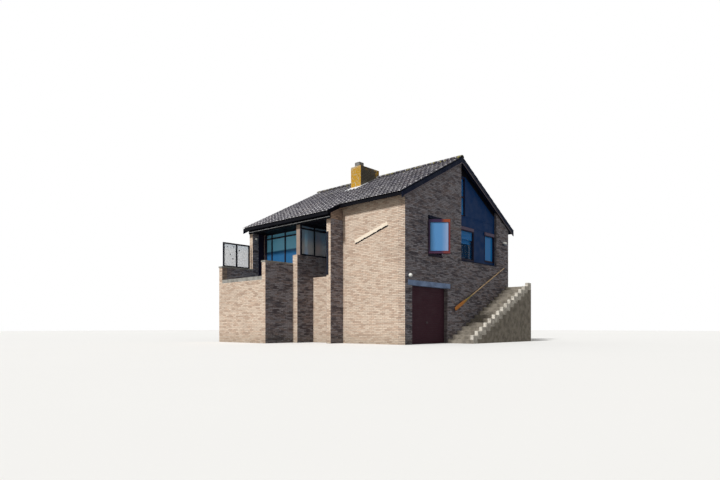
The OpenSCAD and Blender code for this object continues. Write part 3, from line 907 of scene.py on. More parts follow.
@dataclass(frozen=True)
class SashPaint(Finish):
    """Sash paint, red-brown: painted shade darkens the hinge side, where the wall's shadow falls, and painted
    sunlight, brightest at the top rail, lights the free side.
    """

    # dark is painted shade on the hinge side, red is the sunlit paint, and head is a painted highlight on the
    # top rail.
    dark: Colour = shade(54, 36, 66)
    red: Colour = shade(112, 52, 52)
    head: Colour = shade(150, 72, 44)

    def make(self) -> Material:
        """Builds the material.

        Returns:
            The finished material.
        """
        board, place = self.begin()
        _, y, z = board.parts(place)
        fibre = board.noise(board.scaled(place, (12, 12, 2)), 9, 5, 0.7, 0.3)
        # Painted sunlight: the free side and a little of the foot turn from the shaded colour to orange-red,
        # brightest at the top rail.
        painted_sunlight = (y + fibre * 0.12).between(-2.22, -2.1)
        low = (z + fibre * 0.1).between(3.62, 3.52)
        bright = board.mix(z.between(4.64, 4.68), self.red, self.head)
        colour = board.mix(painted_sunlight + low * 0.2, self.dark, bright)
        colour = board.mix(fibre.between(0.5, 0.75, 0.35), colour, shade(60, 40, 44))
        return board.close(colour, fibre.between(0.3, 0.7, 0.6, 0.4), board.bump(fibre, 0.001))


@dataclass(frozen=True)
class Pane(Finish):
    """Window glass, partly clear, whose blue colour is a painted reflection of the sky, with a painted
    highlight of sunlight towards the open sash's free side.
    """

    sky_reflection: Colour = shade(102, 162, 218)
    deep: Colour = shade(46, 112, 176)
    sunlit_highlight: Colour = shade(177, 197, 232)
    bay: Colour = shade(34, 134, 212)
    turn: Span = (3.6, 4.7)
    cover: float = 0.72
    shine: float = 0.06

    def make(self) -> Material:
        """Builds the material.

        Returns:
            The finished material.
        """
        board, place = self.begin()
        x, y, z = board.parts(place)
        wave = board.noise(place, 0.7, 2, 0.5)
        sash = (x > 4.26) * (y < -1.6)
        # Painted reflection: a lower and an upper tone; on the terrace panes they part where the soffit's
        # shadow ends, lighter above to make up for the shade.
        colour = board.mix(z.between(*self.turn), self.sky_reflection, self.deep)
        colour = board.mix(sash, colour, self.sky_reflection)
        # Painted highlight: the open sash's glass turns pale towards its sunlit free side.
        colour = board.mix(sash * (y + wave * 0.1).between(-2.2, -1.94), colour, self.sunlit_highlight)
        bay = (x > 4.0) * (y > -0.2)
        # Painted reflection on the bay's panes, a deeper blue higher up.
        colour = board.mix(bay, colour, board.mix(z.between(5.2, 6.9), self.bay, shade(34, 104, 176)))
        low_bay = bay * (y < 1.2) * z.between(4.40, 4.37)
        rough = wave.between(0.3, 0.7, 0.07, 0.03)
        cover = self.cover + bay * (y.between(0.9, 2.0, 0.24, 0.02) - low_bay * 0.66)
        return board.close(colour, rough, board.bump(wave, 0.002, 0.5), self.shine, Alpha=cover, IOR=1.5)


@dataclass(frozen=True)
class Lichened(Finish):
    """The chimney: old brickwork, overgrown yellow-orange on its weather side."""

    brick: Colour = shade(112, 106, 94)
    growth: Colour = shade(200, 148, 16)
    pale: Colour = shade(196, 184, 146)
    dark: Colour = shade(58, 50, 40)

    def make(self) -> Material:
        """Builds the material.

        Returns:
            The finished material.
        """
        board, place = self.begin()
        x, y, z = board.parts(place)
        nx, ny, nz = board.facing()
        along = x + (abs(nx) > 0.5) * (y - x)
        course = z / COURSE
        run = along / BRICK_PITCH + (course.floor() * 0.5).fraction()
        face = (abs(run.fraction() - 0.5) < 0.47) * (abs(course.fraction() - 0.5) < 0.38)
        colour = board.mix(face, self.dark, self.brick)
        mottle = board.noise(place, 7, 5, 0.65)
        weather = ny.between(-0.2, -0.8, 0.5) + nz.between(0.5, 0.9, 0.2)
        gable_side = y.between(-0.8, -0.25, 0.24) + z.between(7.75, 8.05, 0.1)
        weather += nx.between(0.5, 0.9) * gable_side
        cover = (mottle + weather).between(0.62, 0.8, 0.92)
        tone = board.mix(board.noise(place, 11, 3).between(0.45, 0.7), self.growth, self.pale)
        colour = board.mix(cover, colour, tone)
        crown = (z + mottle * 0.3 - x * 0.2).between(8.18, 8.34, 0.7) * ny.between(-0.2, -0.8)
        colour = board.mix(crown, colour, shade(208, 198, 176))
        spots = board.noise(place, 16, 4, 0.6)
        colour = board.mix(spots.between(0.6, 0.68, 0.8), colour, self.dark)
        height = face * 0.6 + mottle * 0.5
        return board.close(colour, mottle.between(0.3, 0.7, 0.97, 0.8), board.bump(height, 0.006))


@dataclass(frozen=True)
class OarWood(Finish):
    """Varnished ash with an orange blade and a greenish neck, by the distance from the blade's tip."""

    blade: Colour = shade(212, 132, 48)
    neck: Colour = shade(168, 152, 72)
    shaft: Colour = shade(214, 180, 132)

    def make(self) -> Material:
        """Builds the material.

        Returns:
            The finished material.
        """
        board, place = self.begin()
        x, y, z = board.parts(place)
        along = (y - OAR_TIP[1]) * math.cos(OAR_TURN) + (z - OAR_TIP[2]) * math.sin(OAR_TURN)
        colour = board.mix(along.between(0.55, 1.15), self.blade, self.neck)
        colour = board.mix(along.between(1.2, 1.7), colour, self.shaft)
        threads = board.joined(x * 60, along * 3, (z - along * math.sin(OAR_TURN)) * 60)
        fibre = board.noise(threads, 1.0, 4, 0.6)
        colour = board.mix(fibre.between(0.4, 0.75, 0.5), colour, shade(120, 78, 40))
        return board.close(colour, fibre.between(0.3, 0.7, 0.55, 0.3), board.bump(fibre, 0.001))


@dataclass(frozen=True)
class Cloth(Finish):
    """Woven blind or curtain stuff with vertical folds or fine bands."""

    base: Colour = shade(210, 214, 216)
    second: Colour = shade(168, 178, 190)

    def make(self) -> Material:
        """Builds the material.

        Returns:
            The finished material.
        """
        board, place = self.begin()
        weave = board.noise(board.scaled(place, (1, 1, 4)), 240, 2, 0.5)
        bands = board.noise(board.scaled(place, (1, 1, 0.05)), 9, 2, 0.5)
        colour = board.mix(bands.between(0.35, 0.65, 0.5), self.base, self.second)
        colour = board.mix(weave.between(0.4, 0.7, 0.2), colour, self.second)
        return board.close(colour, weave.between(0.3, 0.7, 0.95, 0.8), board.bump(weave, 0.0008))


@dataclass(frozen=True)
class Sheen(Finish):
    """Smooth painted metal, opal plastic or lead, with faint unevenness, dull grey behind a place along Y."""

    base: Colour = shade(225, 225, 220)
    second: Colour = shade(180, 180, 176)
    rough: float = 0.35
    metal: float = 0.0
    size: float = 8.0
    dull: Colour = shade(84, 84, 84)
    dull_from: float = 9.0

    def make(self) -> Material:
        """Builds the material.

        Returns:
            The finished material.
        """
        board, place = self.begin()
        y = board.parts(place)[1]
        cloud = board.noise(place, self.size, 4, 0.6)
        colour = board.mix(cloud.between(0.4, 0.75, 0.6), self.base, self.second)
        colour = board.mix(y.between(self.dull_from, self.dull_from + 0.1), colour, self.dull)
        rough = cloud.between(0.3, 0.75, self.rough + 0.2, self.rough)
        return board.close(colour, rough, board.bump(cloud, 0.002, 0.4), 0.5, Metallic=self.metal)


class Palette:
    """The finishes of the house."""

    front_brick = FacingBrick("facing_brick_front")
    # A darker, greyer copy of the facing brick, with stronger dark streaks and bands: painted shade, for the
    # faces that stand in shade.
    painted_shade_brick = FacingBrick(
        "facing_brick_painted_shade", shade(178, 174, 180), shade(160, 146, 144), shade(122, 118, 124),
        shade(62, 60, 70), 0.3, 0.5, 0.7,
    )
    masonry = Masonry("masonry")
    # A darker, greyer copy of the masonry: painted shade, for the gable's walls.
    painted_shade_masonry = Masonry(
        "masonry_painted_shade", shade(98, 94, 94), shade(84, 80, 80), shade(142, 134, 132), shade(96, 90, 92)
    )
    tile = Pantile("pantile")
    ridge = Pantile("ridge_tile", crown=0.05)
    concrete = Stone("weathered_concrete")
    lintel = Stone("lintel_concrete", shade(146, 170, 208), shade(96, 112, 144), growth=0.05)
    column = Stone("column_render", shade(170, 150, 136), shade(140, 122, 110), growth=0.05)
    step = Stone("step_stone", shade(152, 144, 132), shade(92, 86, 78), size=4.5, growth=0.3, depth=0.006)
    kerb = Stone("kerb_stone", shade(228, 222, 210), shade(140, 132, 122), size=6.0, growth=0.2, depth=0.01)
    board_paint = Timber("board_paint")
    # Near-black paint that also stands for shade: painted shade on the eave boards, soffit and header, and on
    # boards standing for shadows.
    black_paint_and_shade = Timber("black_paint_and_painted_shade", shade(10, 11, 16), shade(26, 24, 32))
    cladding = Timber("cladding_paint", shade(12, 50, 98), shade(30, 64, 112), Grain.UPRIGHT, 0.35, 0.45)
    frame_paint = Timber("joinery_paint", shade(100, 50, 50), shade(132, 76, 64), Grain.UPRIGHT, 0.4, 0.4)
    dark_frame = Timber("dark_frame_paint", shade(36, 32, 52), shade(54, 44, 60), Grain.UPRIGHT, 0.35, 0.4)
    terrace_frame = Timber(
        "terrace_frame_paint", shade(34, 32, 46), shade(60, 50, 56), Grain.UPRIGHT, 0.4, 0.4
    )
    blind_box = Timber("blind_box_paint", shade(98, 88, 110), shade(128, 112, 126), Grain.ALONG_Y, 0.5, 0.45)
    sash_paint = SashPaint("sash_paint")
    screen_paint = Timber("screen_frame_paint", shade(34, 36, 46), shade(60, 60, 68), Grain.UPRIGHT, 0.3, 0.4)
    pane = Pane("pane_glass")
    # Painted reflection: light above the soffit's shadow line near 4.14 m and darker below, where the sun
    # falls, to even out the shade.
    terrace_pane = Pane(
        "terrace_pane_glass", shade(50, 108, 156), shade(140, 222, 255), turn=(4.1, 4.18), cover=0.82
    )
    # Painted reflection: white and pale blue over the screen's glass, which stands in shade.
    screen_pane = Pane(
        "screen_pane_glass", shade(255, 255, 255), shade(190, 226, 255), turn=(4.0, 4.5), cover=0.42,
        shine=1.0,
    )
    chimney = Lichened("chimney_growth")
    lead = Sheen("lead_sheet", shade(232, 234, 236), shade(182, 186, 190), 0.4, 0.1, dull_from=-1.1)
    flue = Stone("flue_concrete", shade(146, 144, 140), shade(92, 90, 86), size=9.0, growth=0.15)
    door = Timber("door_paint", shade(68, 44, 54), shade(92, 62, 70), Grain.ALONG_Y, 0.45, 0.5)
    steel = Sheen("post_paint", shade(66, 58, 62), shade(100, 84, 78), 0.45, 0.2, 14.0)
    oar = OarWood("oar_varnish")
    sign = Timber("sign_board_wood", shade(252, 240, 222), shade(222, 198, 164), Grain.FINE, 0.5, 0.7, 0.3)
    verge = Timber("verge_strip_paint", shade(104, 98, 104), shade(130, 116, 112), Grain.ALONG_Y, 0.4, 0.5)
    lamp = Sheen("lamp_opal", shade(238, 238, 232), shade(214, 214, 206), 0.25)
    lamp_foot = Sheen("lamp_foot", shade(70, 78, 92), shade(46, 50, 60), 0.4, 0.4)
    blind_blue = Cloth("blind_blue", shade(64, 146, 220), shade(46, 118, 192))
    blind_pale = Cloth("blind_pale", shade(226, 234, 240), shade(196, 210, 224))
    curtain_dark = Cloth("curtain_dark", shade(30, 32, 38), shade(22, 24, 30))
    curtain_warm = Cloth("curtain_warm", shade(186, 104, 62), shade(140, 70, 44))
    curtain_rose = Cloth("curtain_rose", shade(255, 150, 112), shade(252, 104, 74))


def wear(piece: Piece, finish: Finish, body: str = "house") -> Piece:
    """Finishes a new piece and lets it ride on a body.

    Args:
        piece: The new piece.
        finish: Its finish.
        body: The body that it rides on.

    Returns:
        The piece.
    """
    piece.data.materials.clear()
    piece.data.materials.append(finish.material())
    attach(piece, body)
    log.info("%s: %d faces", piece.name, len(piece.data.polygons))
    return piece


def refinish(finish: Finish, *nodes: str) -> None:
    """Gives CAD nodes a better material on their own slots.

    Args:
        finish: The finish.
        nodes: The nodes' names.
    """
    for name in nodes:
        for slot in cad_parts[name].material_slots:
            slot.material = finish.material()
        log.info("%s: finish %s", name, finish.name)


def gable_top(run: np.ndarray) -> np.ndarray:
    """The height of a gable wall's top at these places along Y."""
    return WALL_TOP_Z - SLOPE * np.abs(run - RIDGE_Y)


@dataclass(frozen=True)
class BrickFace:
    """One face of a brick wall in stretcher bond, on the same grid of courses as all the others.

    The face lies across X or Y at a place, looks towards out, and runs along the other axis.
    Holes are (start, end, foot, head) along the run and up.
    """

    name: str
    across: Axis
    place: float
    out: float
    run: Span
    foot: float
    top: float | Callable[[np.ndarray], np.ndarray]
    holes: tuple[Hole, ...] = ()
    proud: float = 0.005
    sunk: float = 0.004
    joint: float = 0.010
    bed_joint: float = 0.0125

    def master(self) -> Piece:
        """Makes the first brick of an even course and of the odd course above it.

        Returns:
            Both bricks as one piece.
        """
        pair = []
        near, far = sorted((self.place - self.out * self.sunk, self.place + self.out * self.proud))
        for odd in range(2):
            start = -0.5 * BRICK_PITCH * odd + self.joint / 2
            foot = COURSE * odd + self.bed_joint / 2
            low = [near, start, foot]
            high = [far, start + BRICK_PITCH - self.joint, foot + COURSE - self.bed_joint]
            if self.across is Axis.Y:
                low[0], low[1] = low[1], low[0]
                high[0], high[1] = high[1], high[0]
            brick = Bench.block(f"{self.name}_{odd}", low, high)
            Bench.unwrap(brick)
            pair.append(brick)
        return Bench.join(self.name, pair)

    def ceiling(self, along: np.ndarray) -> np.ndarray:
        """Returns the wall's top at these places along its run."""
        return np.full(along.shape, self.top) if isinstance(self.top, float) else self.top(along)

    def build(self, seed: int) -> Piece:
        """Lays the face's bricks.

        Args:
            seed: The start of its random draws.

        Returns:
            The bricks as one piece.
        """
        piece = self.master()
        first = math.floor(self.run[0] / BRICK_PITCH)
        columns = math.ceil(self.run[1] / BRICK_PITCH) - first + 2
        level = 2 * math.floor(self.foot / COURSE / 2)
        crest = float(self.ceiling(np.linspace(*self.run, 200)).max())
        pairs = math.ceil((crest - level * COURSE) / COURSE / 2)
        axis = 1 - self.across.value
        step = [0.0, 0.0, 0.0]
        step[axis] = BRICK_PITCH
        Bench.array(piece, columns, tuple(step))
        Bench.array(piece, pairs, (0.0, 0.0, 2 * COURSE))
        spots = Bench.points(piece).reshape(-1, 8, 3)
        spots[:, :, axis] += first * BRICK_PITCH
        spots[:, :, 2] += level * COURSE
        along, up = spots[:, :, axis], spots[:, :, 2]
        left, right = along.min(1), along.max(1)
        low, high = up.min(1), up.max(1)
        share_along = (along - left[:, None]) / (right - left)[:, None]
        share_up = (up - low[:, None]) / (high - low)[:, None]
        left, right = np.clip(left, *self.run), np.clip(right, *self.run)
        low = np.maximum(low, self.foot)
        gone = np.zeros(len(left), bool)
        for start, end, foot, head in self.holes:
            hit = (right > start) & (left < end) & (high > foot) & (low < head)
            width, height = np.maximum(right - left, 1e-6), np.maximum(high - low, 1e-6)
            beside = (start - left) / width, (right - end) / width
            kept = np.stack([*beside, (foot - low) / height, (high - head) / height])
            best = kept.argmax(0)
            gone |= hit & (kept.max(0) < 0.06)
            right = np.where(hit & (best == 0), start, right)
            left = np.where(hit & (best == 1), end, left)
            high = np.where(hit & (best == 2), foot, high)
            low = np.where(hit & (best == 3), head, low)
        middle = (left + right) / 2
        gone |= (right - left < 0.02) | (high - low < 0.012) | (low > self.ceiling(middle) - 0.015)
        along = left[:, None] + share_along * (right - left)[:, None]
        up = low[:, None] + share_up * (high - low)[:, None]
        chance = np.random.default_rng(seed)
        depth_axis = 1 - axis
        outer = (spots[:, :, depth_axis] - self.place) * self.out > 0
        along = along + outer * chance.uniform(-0.0016, 0.0016, along.shape)
        up = up + outer * chance.uniform(-0.0016, 0.0016, up.shape)
        up = np.minimum(up, self.ceiling(along) - 0.002)
        shift = chance.uniform(-0.0025, 0.003, (len(left), 1)) + chance.uniform(-0.0008, 0.0008, along.shape)
        spots[:, :, axis], spots[:, :, 2] = along, up
        spots[:, :, depth_axis] += outer * self.out * shift
        Bench.move(piece, spots.reshape(-1, 3))
        Bench.drop(piece, np.repeat(gone, 8))
        count = len(piece.data.vertices) // 8
        Bench.mark(piece, "tone", np.repeat(chance.uniform(0, 1, count), 8))
        Bench.cells(piece, count)
        return piece


@dataclass
class Brickwork:
    """All facing bricks: real bricks on each outer face, in front of the walls' mortar."""

    corner: float = 4.254
    garage: Hole = (-3.575, -1.2, 0.0, 2.2)
    lintel: Hole = (-3.825, -1.0, 2.19, 2.40)
    window: Hole = (*GABLE_WINDOW, 3.44, 4.94)
    bay: Hole = (*BAY, 3.44, 7.6)
    beam_z: float = 4.93
    screen_z: float = 3.65
    wall_z: float = 3.25
    porch_z: float = 2.75
    deck_z: float = 2.70

    def faces(self) -> list[tuple[BrickFace, Finish]]:
        """Lists every face with its finish.

        Returns:
            The faces, from which each one's random draws are numbered.
        """
        # gable is the darker copy of the brick, painted shade, laid on the faces that stand in shade.
        front, gable = Palette.front_brick, Palette.painted_shade_brick
        beam, screen, wall, porch, deck = self.beam_z, self.screen_z, self.wall_z, self.porch_z, self.deck_z
        passage = (FRONT_Y, -2.96, 0.0, porch)
        rows = (
            (front, "front", Axis.Y, FRONT_Y, -1, (1.105, self.corner), 0.0, 5.53),
            (front, "wing_end", Axis.Y, -4.69, -1, (0.872, 1.105), 0.0, beam),
            (front, "porch_foot", Axis.Y, FRONT_Y, -1, (-0.673, 0.872), 0.0, porch),
            (front, "terrace_front", Axis.Y, -6.30, -1, (-4.25, -0.955), 0.0, wall,
             ((-4.017, -1.185, 2.55, 3.4),)),
            (front, "screen_end", Axis.Y, -4.88, -1, (-0.955, -0.673), 0.0, screen),
            (front, "far_pier", Axis.Y, -4.69, -1, (-4.25, -4.017), 3.31, beam),
            (gable, "far_pier_side", Axis.X, -4.017, 1, (-4.69, -4.366), deck, beam),
            (gable, "gable", Axis.X, GABLE_X, 1, (-self.corner + 0.25, self.corner - 0.25), 0.0, gable_top,
             (self.garage, self.lintel, self.window, self.bay)),
            (gable, "wing_side", Axis.X, 1.105, 1, (-4.69, FRONT_Y), 0.0, beam),
            (gable, "porch_side", Axis.X, 0.872, -1, (-4.69, -2.96), 0.0, beam, (passage,)),
            (gable, "screen_side", Axis.X, -0.673, 1, (-4.88, -2.96), 0.0, screen, (passage,)),
            (gable, "screen_back", Axis.X, -0.955, -1, (-4.88, FRONT_Y), deck, screen,
             ((-4.9, -4.69, 2.6, 3.31),)),
            (gable, "terrace_side", Axis.X, -0.955, 1, (-6.30, -4.885), 0.0, wall),
            (gable, "terrace_inner", Axis.X, -1.185, -1, (-6.30, -4.69), deck, wall),
            (gable, "terrace_end", Axis.Y, -4.69, 1, (-1.185, -0.955), deck, wall),
            (gable, "terrace_far", Axis.X, -4.25, -1, (-6.30, FRONT_Y), 0.0, beam,
             ((-6.31, -4.69, wall, 5.0), (-4.366, FRONT_Y, wall, 5.0))),
            (gable, "parapet", Axis.X, -4.017, 1, (-6.07, -4.69), deck, wall),
            (gable, "far_gable", Axis.X, -4.25, -1, (-4.004, 4.004), 0.0, gable_top,
             self.windows(FAR_WINDOWS)),
            (front, "rear", Axis.Y, 4.0, 1, (-self.corner, self.corner), 0.0, 5.265,
             self.windows(REAR_WINDOWS)),
        )
        return [(BrickFace(f"bricks_{name}", *place), finish) for finish, name, *place in rows]

    @staticmethod
    def windows(middles: Sequence[float]) -> tuple[Hole, ...]:
        """Returns the holes of plain windows with these middles."""
        return tuple((middle - HALF_WINDOW, middle + HALF_WINDOW, 3.40, 4.87) for middle in middles)

    def build(self) -> None:
        """Lays every face and gives the walls behind them their mortar."""
        for seed, (face, finish) in enumerate(self.faces()):
            wear(face.build(seed), finish)
        refinish(
            Palette.masonry, "front_wall", "front_wall_left", "wing_wall", "far_wing_pier", "far_gable_wall",
            "rear_wall", "terrace_front_wall", "terrace_far_wall", "terrace_side_wall", "screen_wall",
        )
        # The gable's walls take the darker copy of the masonry: painted shade.
        refinish(Palette.painted_shade_masonry, "garage_jamb", "gable_wall_lower", "gable_wall_upper", "gable_pier")


@dataclass
class Roof:
    """Wavy tiles in rows, laid over each other from the eaves up, and half-round tiles on the ridge."""

    half: float = 4.36
    columns: int = 40
    gauge: float = 0.3795
    lap: float = 0.062
    wave: float = 0.031
    thick: float = 0.013
    lift: float = 0.018
    front_eave: float = 5.354
    rear_eave: float = 5.212
    rows: int = 14
    deep_eave_to: float = 1.222
    chimney_x: Span = (-0.87, -0.25)
    chimney_y: Span = (-1.45, -0.17)
    caps: int = 30

    @property
    def pitch(self) -> float:
        """The width of one column of tiles."""
        return 2 * self.half / self.columns

    def master(self, name: str) -> Piece:
        """Makes one tile at the eave's far end, lying flat, its tail at y 0 and its head towards +Y.

        Args:
            name: The tile's name.

        Returns:
            The tile.
        """
        width = self.pitch
        length = self.gauge + self.lap
        Bench.clear()
        bpy.ops.mesh.primitive_grid_add(x_subdivisions=9, y_subdivisions=1, size=1)
        tile = Bench.new(name)
        tile.scale = (width + 0.012, length, 1)
        tile.location = (width / 2 + 0.006, length / 2, 0)
        Bench.settle(tile)
        across = sorted({round(x, 5) for x in Bench.points(tile)[:, 0]})
        with Bench.edit(tile):
            for x in across:
                share = x / width
                height = self.wave * (0.5 + 0.5 * math.sin(2 * math.pi * share))
                height += 0.006 * (1 - share) + self.thick
                Bench.pick(tile, lambda place, x=x: abs(place.x - x) < 1e-4)
                bpy.ops.transform.translate(value=(0, 0, height))
            Bench.pick(tile, lambda place: place.y < 1e-4)
            bpy.ops.transform.translate(value=(0, 0, self.lift))
        Bench.modify(tile, "SOLIDIFY", thickness=self.thick, offset=-1)
        share = Bench.points(tile)[:, 0] / width
        Bench.mark(tile, "crest", 0.5 + 0.5 * np.sin(2 * np.pi * share))
        Bench.mark(tile, "tail", 1 - Bench.points(tile)[:, 1] / length)
        Bench.unwrap(tile)
        return tile

    def slope(self, name: str, front: bool, eave: float, seed: int) -> Piece:
        """Tiles one slope.

        Args:
            name: The piece's name.
            front: True for the slope towards the terrace.
            eave: The eave's distance from the ridge, along the slope.
            seed: The start of its random draws.

        Returns:
            The tiles as one piece.
        """
        tiles = self.master(name)
        each = len(tiles.data.vertices)
        Bench.array(tiles, self.columns, (self.pitch, 0, 0))
        Bench.array(tiles, self.rows, (0, self.gauge, 0))
        spots = Bench.points(tiles).reshape(-1, each, 3)
        x, y, z = np.moveaxis(spots, 2, 0)
        chance = np.random.default_rng(seed)
        count = len(spots)
        z += chance.uniform(0, 0.003, (count, 1))
        y += chance.uniform(-0.005, 0.005, (count, 1))
        turn = chance.uniform(-0.009, 0.009, (count, 1))
        offset = spots - spots.mean(1, keepdims=True)
        x -= turn * offset[:, :, 1]
        y += turn * offset[:, :, 0]
        x -= self.half
        y[:] = -np.maximum(eave - y, 0.03)
        gone = np.zeros(count, bool)
        if front:
            column, row = np.arange(count) % self.columns, np.arange(count) // self.columns
            gone |= (row < 2) & (column * self.pitch - self.half > self.deep_eave_to - 0.02)
            x[:] = np.where((row < 2)[:, None], np.minimum(x, self.deep_eave_to), x)
        x[:] = np.clip(x, -self.half, self.half)
        sine, cosine = math.sin(TILT), math.cos(TILT)
        y[:], z[:] = y * cosine - z * sine, y * sine + z * cosine
        if not front:
            y *= -1
        y += RIDGE_Y
        z += BED_Z
        middle = spots.mean(1)
        gone |= (
            (middle[:, 0] > self.chimney_x[0] + 0.1) & (middle[:, 0] < self.chimney_x[1] - 0.1)
            & (middle[:, 1] > self.chimney_y[0] + 0.15) & (middle[:, 1] < self.chimney_y[1] + 0.3)
        )
        Bench.move(tiles, spots.reshape(-1, 3))
        Bench.drop(tiles, np.repeat(gone, each))
        count = len(tiles.data.vertices) // each
        Bench.mark(tiles, "tone", np.repeat(chance.uniform(0, 1, count), each))
        Bench.cells(tiles, count)
        if not front:
            with Bench.edit(tiles, whole=True):
                bpy.ops.mesh.flip_normals()
        Bench.smooth(tiles, 40)
        return tiles

    def ridge(self) -> Piece:
        """Makes the row of half-round ridge tiles.

        Returns:
            The ridge tiles as one piece.
        """
        low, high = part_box("ridge_tiles")
        pitch, radius, overlap = 2 * self.half / self.caps, 0.13, 0.02
        Bench.clear()
        bpy.ops.mesh.primitive_cylinder_add(
            vertices=20, radius=radius, depth=pitch + overlap, end_fill_type="NOTHING",
            rotation=(0, math.pi / 2, 0),
        )
        cap = Bench.settle(Bench.new("ridge_caps"))
        with Bench.edit(cap):
            Bench.pick(cap, lambda place: place.z < -0.005)
            bpy.ops.mesh.delete(type="VERT")
        with Bench.edit(cap, whole=True):
            bpy.ops.mesh.subdivide(number_cuts=1)
            Bench.pick(cap, lambda place: place.x > pitch / 2)
            bpy.ops.transform.resize(value=(1, 0.93, 0.88))
        Bench.outward(cap)
        Bench.modify(cap, "SOLIDIFY", thickness=0.014, offset=-1)
        cap.scale = (1, 1, (high.z - low.z - 0.004) / radius)
        cap.location = (-self.half + pitch / 2 + overlap / 2, RIDGE_Y, low.z)
        Bench.settle(cap)
        Bench.unwrap(cap)
        each = len(cap.data.vertices)
        Bench.array(cap, self.caps, (pitch, 0, 0))
        spots = Bench.points(cap).reshape(-1, each, 3)
        x, y, z = np.moveaxis(spots, 2, 0)
        chance = np.random.default_rng(77)
        z += chance.uniform(-0.003, 0.003, (self.caps, 1))
        y += chance.uniform(-0.004, 0.004, (self.caps, 1))
        x[:] = np.clip(x, -self.half, self.half)
        Bench.move(cap, spots.reshape(-1, 3))
        Bench.mark(cap, "tone", np.repeat(chance.uniform(0, 1, self.caps), each))
        Bench.mark(cap, "crest", np.ones(self.caps * each))
        Bench.mark(cap, "tail", (1 - (x - x.min(1, keepdims=True)) / (pitch + overlap)).ravel())
        Bench.cells(cap, self.caps)
        Bench.smooth(cap, 40)
        return cap

    def build(self) -> None:
        """Builds the slopes and the ridge, and dresses boards and decks."""
        front = wear(self.slope("tiles_front", True, self.front_eave, 41), Palette.tile)
        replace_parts(front, "roof_tiles_front")
        rear = wear(self.slope("tiles_rear", False, self.rear_eave, 42), Palette.tile)
        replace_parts(rear, "roof_tiles_rear")
        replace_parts(wear(self.ridge(), Palette.ridge), "ridge_tiles")
        refinish(Palette.board_paint, "roof_deck_front", "roof_deck_rear", "bargeboards")
        # The eave boards, soffit and header take the near-black paint, which includes painted shade.
        refinish(Palette.black_paint_and_shade, "eave_boards", "terrace_soffit", "front_header")


@dataclass
class Chimney:
    """The stack with its lead apron."""

    tiles: Roof = field(default_factory=Roof)

    def apron(self) -> Piece:
        """Makes the lead sheet, dressed over the waves of the tiles.

        Returns:
            The sheet.
        """
        low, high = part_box("chimney_flashing")
        stack_low, stack_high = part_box("chimney_stack")
        Bench.clear()
        bpy.ops.mesh.primitive_grid_add(x_subdivisions=56, y_subdivisions=40, size=1)
        sheet = Bench.new("lead_apron")
        sheet.scale = (high.x - low.x, high.y - low.y, 1)
        sheet.location = ((low.x + high.x) / 2, (low.y + high.y) / 2, 0)
        Bench.settle(sheet)
        start, end, foot = stack_low.x + 0.02, stack_high.x - 0.02, stack_low.y + 0.02
        with Bench.edit(sheet, Pick.FACES):
            Bench.pick(sheet, lambda place: start < place.x < end and foot < place.y, Pick.FACES)
            bpy.ops.mesh.delete(type="FACE")
        spots = Bench.points(sheet)
        x, y, _ = spots.T
        share = (x + self.tiles.half) / self.tiles.pitch
        near = np.maximum(np.maximum(stack_low.x - x, x - stack_high.x), stack_low.y - y)
        ease = np.clip(near / 0.09, 0, 1)
        crest = 0.035 + 0.5 * self.tiles.wave * (1 + np.sin(2 * np.pi * share)) * ease + 0.03 * (1 - ease)
        spots[:, 2] = BED_Z - SLOPE * np.abs(y - RIDGE_Y) + crest + 0.016
        Bench.move(sheet, spots)
        with Bench.edit(sheet, Pick.EDGES, whole=True):
            bpy.ops.mesh.region_to_loop()
            mesh = bmesh.from_edit_mesh(sheet.data)
            for edge in mesh.edges:
                at = (edge.verts[0].co + edge.verts[1].co) / 2
                inside = low.x + 0.03 <= at.x <= high.x - 0.03 and low.y + 0.03 <= at.y <= high.y - 0.001
                if edge.select and not inside:
                    edge.select_set(False)
            bmesh.update_edit_mesh(sheet.data)
            bpy.ops.mesh.extrude_region_move(TRANSFORM_OT_translate={"value": (0, 0, 0.11)})
        Bench.outward(sheet)
        Bench.modify(sheet, "SOLIDIFY", thickness=0.004, offset=1)
        Bench.smooth(sheet, 40)
        return sheet

    def build(self) -> None:
        """Builds the apron and dresses the stack and its flue."""
        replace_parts(wear(self.apron(), Palette.lead), "chimney_flashing")
        refinish(Palette.chimney, "chimney_stack")
        refinish(Palette.flue, "flue_box")


def ring(
    name: str, axis: Axis, place: float, out: float, run: Span, up: Span, width: float, depth: float,
    edge: float = 0.003,
) -> Piece:
    """Makes a mitred frame of four strips round an opening.

    Args:
        name: The piece's name.
        axis: The axis that the frame looks along.
        place: Where its back is on that axis.
        out: The way it looks, 1 or -1.
        run: The opening's start and end along the wall, inside the frame's outer edge.
        up: The opening's foot and head.
        width: The strips' width.
        depth: Their thickness.
        edge: The width of the eased edges.

    Returns:
        The frame.
    """
    Bench.clear()
    bpy.ops.mesh.primitive_plane_add(size=1)
    piece = Bench.new(name)
    piece.scale = (run[1] - run[0], up[1] - up[0], 1)
    Bench.settle(piece)
    with Bench.edit(piece, Pick.FACES, whole=True):
        bpy.ops.mesh.inset(thickness=width)
        bpy.ops.mesh.delete(type="FACE")
    Bench.modify(piece, "SOLIDIFY", thickness=depth, offset=1)
    Bench.ease(piece, edge, 2)
    middle = ((run[0] + run[1]) / 2, (up[0] + up[1]) / 2)
    if axis is Axis.X:
        piece.rotation_euler = (math.pi / 2, 0, math.pi / 2 * out)
        piece.location = (place, middle[0], middle[1])
    else:
        piece.rotation_euler = (math.pi / 2, 0, 0 if out < 0 else math.pi)
        piece.location = (middle[0], place, middle[1])
    return Bench.settle(piece)


